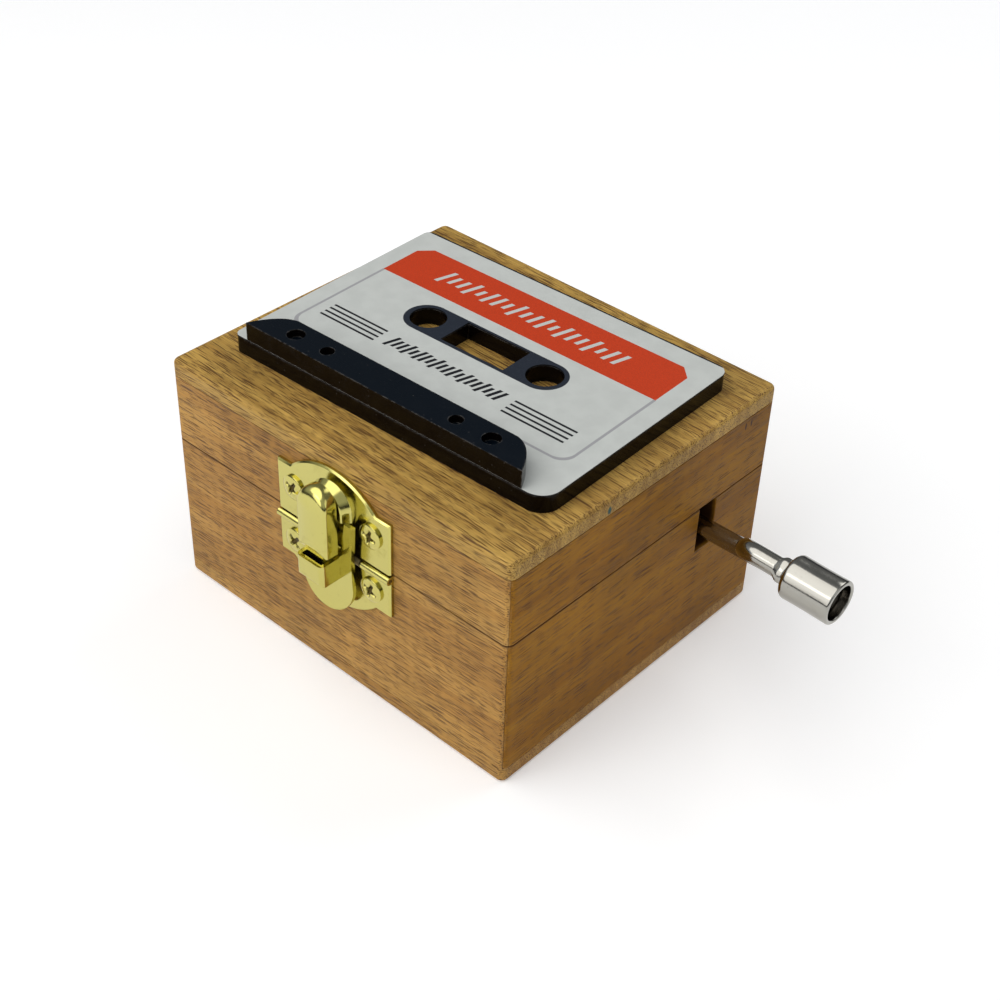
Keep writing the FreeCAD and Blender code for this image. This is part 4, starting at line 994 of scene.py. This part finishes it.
def dressHinges():
    shape, brass = hingeShape, finishes["hinge"]
    radius, height = shape["headRadius"], shape["headHeight"]
    leaves = {side: "hinge_" + side + "_lid_leaf" for side in ("left", "right")}
    middles = [sum(boxOf(leaf))[0] / 2 for leaf in leaves.values()]
    for body, turns in (("base", shape["baseTurns"]), ("lid", shape["lidTurns"])):
        for side in leaves:
            node = "hinge_" + side + "_" + body + "_leaf"
            place(softened(node, shape["edgeRoll"]), body, node, brass)
        # a leaf's two screws stand as far to either side of its middle as the first one does
        node = "hinge_" + body + "_screws"
        low, high = boxOf(node)
        level = (low[2] + high[2]) / 2
        offset = middles[0] - (low[0] + radius)
        centres = [(middle + way * offset, level) for middle in middles for way in (-1, 1)]
        makeScrews(node, centres, 1, radius, height, brass, body, turns)


def dressNodes():
    # frame nodes whose shape is right as it is, by finish
    groups = {
        "spring": ("latch_springs", "latch_pin"),
        "steel": ("hinge_left_pin", "hinge_right_pin", "comb", "comb_screws",
                  "cylinder_pins", "bearing_screws", "movement_screws"),
        "nickel": ("crank_collar", "worm", "cylinder_axle"),
        "barrel": ("cylinder_barrel", "worm_wheel"),
        "zinc": ("movement_bedplate", "crank_bearing_outer", "crank_bearing_inner", "cylinder_bearing_back",
                 "cylinder_bearing_front"),
        "lead": ("comb_weights",),
    }
    for finish, nodes in groups.items():
        for node in nodes:
            mesh = frame["nodes"][node].data
            mesh.materials.clear()
            mesh.materials.append(finishes[finish])


dressHinges()
dressNodes()
print("hinges and movement dressed")


stageLook = {
    "floor": rgb(0.88, 0.88, 0.88),
    "floorGlow": 0.24,
    "floorSize": 3.0,
    "horizon": rgb(0.035, 0.035, 0.04),
    "frontSky": rgb(0.50, 0.52, 0.55),
    "backSky": rgb(0.20, 0.205, 0.21),
    "aim": (0.00561, 0.00012, 0.0183),
    "azimuth": 41.035,          # the camera's place, tilt and lens
    "elevation": 37.98,
    "roll": -2.262,
    "distance": 0.245,
    "lens": 61.19,
    "sensor": 36.0,
}
lamps = {  # azimuth and elevation seen from the box, distance, size, watts, colour
    "keyLight": (-35, 62, 0.60, 0.70, 2.0, (1.0, 0.98, 0.95)),
    "frontFill": (-10, 26, 0.60, 0.46, 0.8, (1.0, 0.98, 0.96)),
    "rightFill": (95, 30, 0.60, 0.40, 0.30, (1.0, 0.99, 0.98)),
    "backRim": (170, 45, 0.60, 0.40, 0.8, (1.0, 1.0, 1.0)),
}


def aimed(thing, azimuth, elevation, distance, roll=0.0):
    # stands a lamp or camera off the box, azimuth 0 at its front, with its -Z towards the aim
    a, e = math.radians(azimuth), math.radians(elevation)
    towards = np.array([math.sin(a) * math.cos(e), -math.cos(a) * math.cos(e), math.sin(e)])
    thing.location = np.array(stageLook["aim"]) + towards * distance
    thing.rotation_mode = "QUATERNION"
    turn = Quaternion(Vector(-towards), math.radians(roll))
    thing.rotation_quaternion = turn @ Vector(-towards).to_track_quat("-Z", "Y")


def makeFloor():
    look = stageLook
    half = look["floorSize"] / 2
    corners = np.array([[-half, -half, 0], [half, -half, 0], [half, half, 0], [-half, half, 0]])
    floor = meshFrom("floor", corners, np.array([[0, 1, 2, 3]]))
    made, tree, shader, coords = newMaterial("paleFloor")
    rough = span(tree, noise(tree, coords, 9.0, 2.0), 0.3, 0.7, 0.7, 0.8)
    fill(tree, shader, {"Base Color": look["floor"], "Roughness": rough, "Specular IOR Level": 0.2,
                        "Emission Color": rgb(1.0, 1.0, 1.0), "Emission Strength": look["floorGlow"]})
    floor.data.materials.append(made)


def makeStudio():
    # a room that is dark at the horizon and brighter in front than behind
    look = stageLook
    world = bpy.data.worlds.new("studio")
    bpy.context.scene.world = world
    world.use_nodes = True
    tree = world.node_tree
    back, up = axesOf(tree, tree.nodes.new("ShaderNodeTexCoord").outputs["Generated"])[1:]
    sky = blendColour(tree, span(tree, back, -0.5, 0.5), look["frontSky"], look["backSky"])
    sky = blendColour(tree, span(tree, up, 0.05, 0.45), look["horizon"], sky)
    tree.links.new(sky, tree.nodes["Background"].inputs[0])


def makeLamps():
    for name, (azimuth, elevation, distance, size, power, colour) in lamps.items():
        data = bpy.data.lights.new(name, "AREA")
        data.shape = "DISK"
        data.size = size
        data.energy = power
        data.color = colour
        aimed(addObject(name, data), azimuth, elevation, distance)


def makeCamera():
    look = stageLook
    data = bpy.data.cameras.new("camera")
    data.lens = look["lens"]
    data.sensor_width = look["sensor"]
    data.clip_start = 0.01
    data.clip_end = 10.0
    camera = addObject("camera", data)
    aimed(camera, look["azimuth"], look["elevation"], look["distance"], look["roll"])
    scene = bpy.context.scene
    scene.camera = camera
    scene.view_settings.view_transform = "Standard"
    scene.view_settings.look = "None"


makeFloor()
makeStudio()
makeLamps()
makeCamera()
print("stage set")
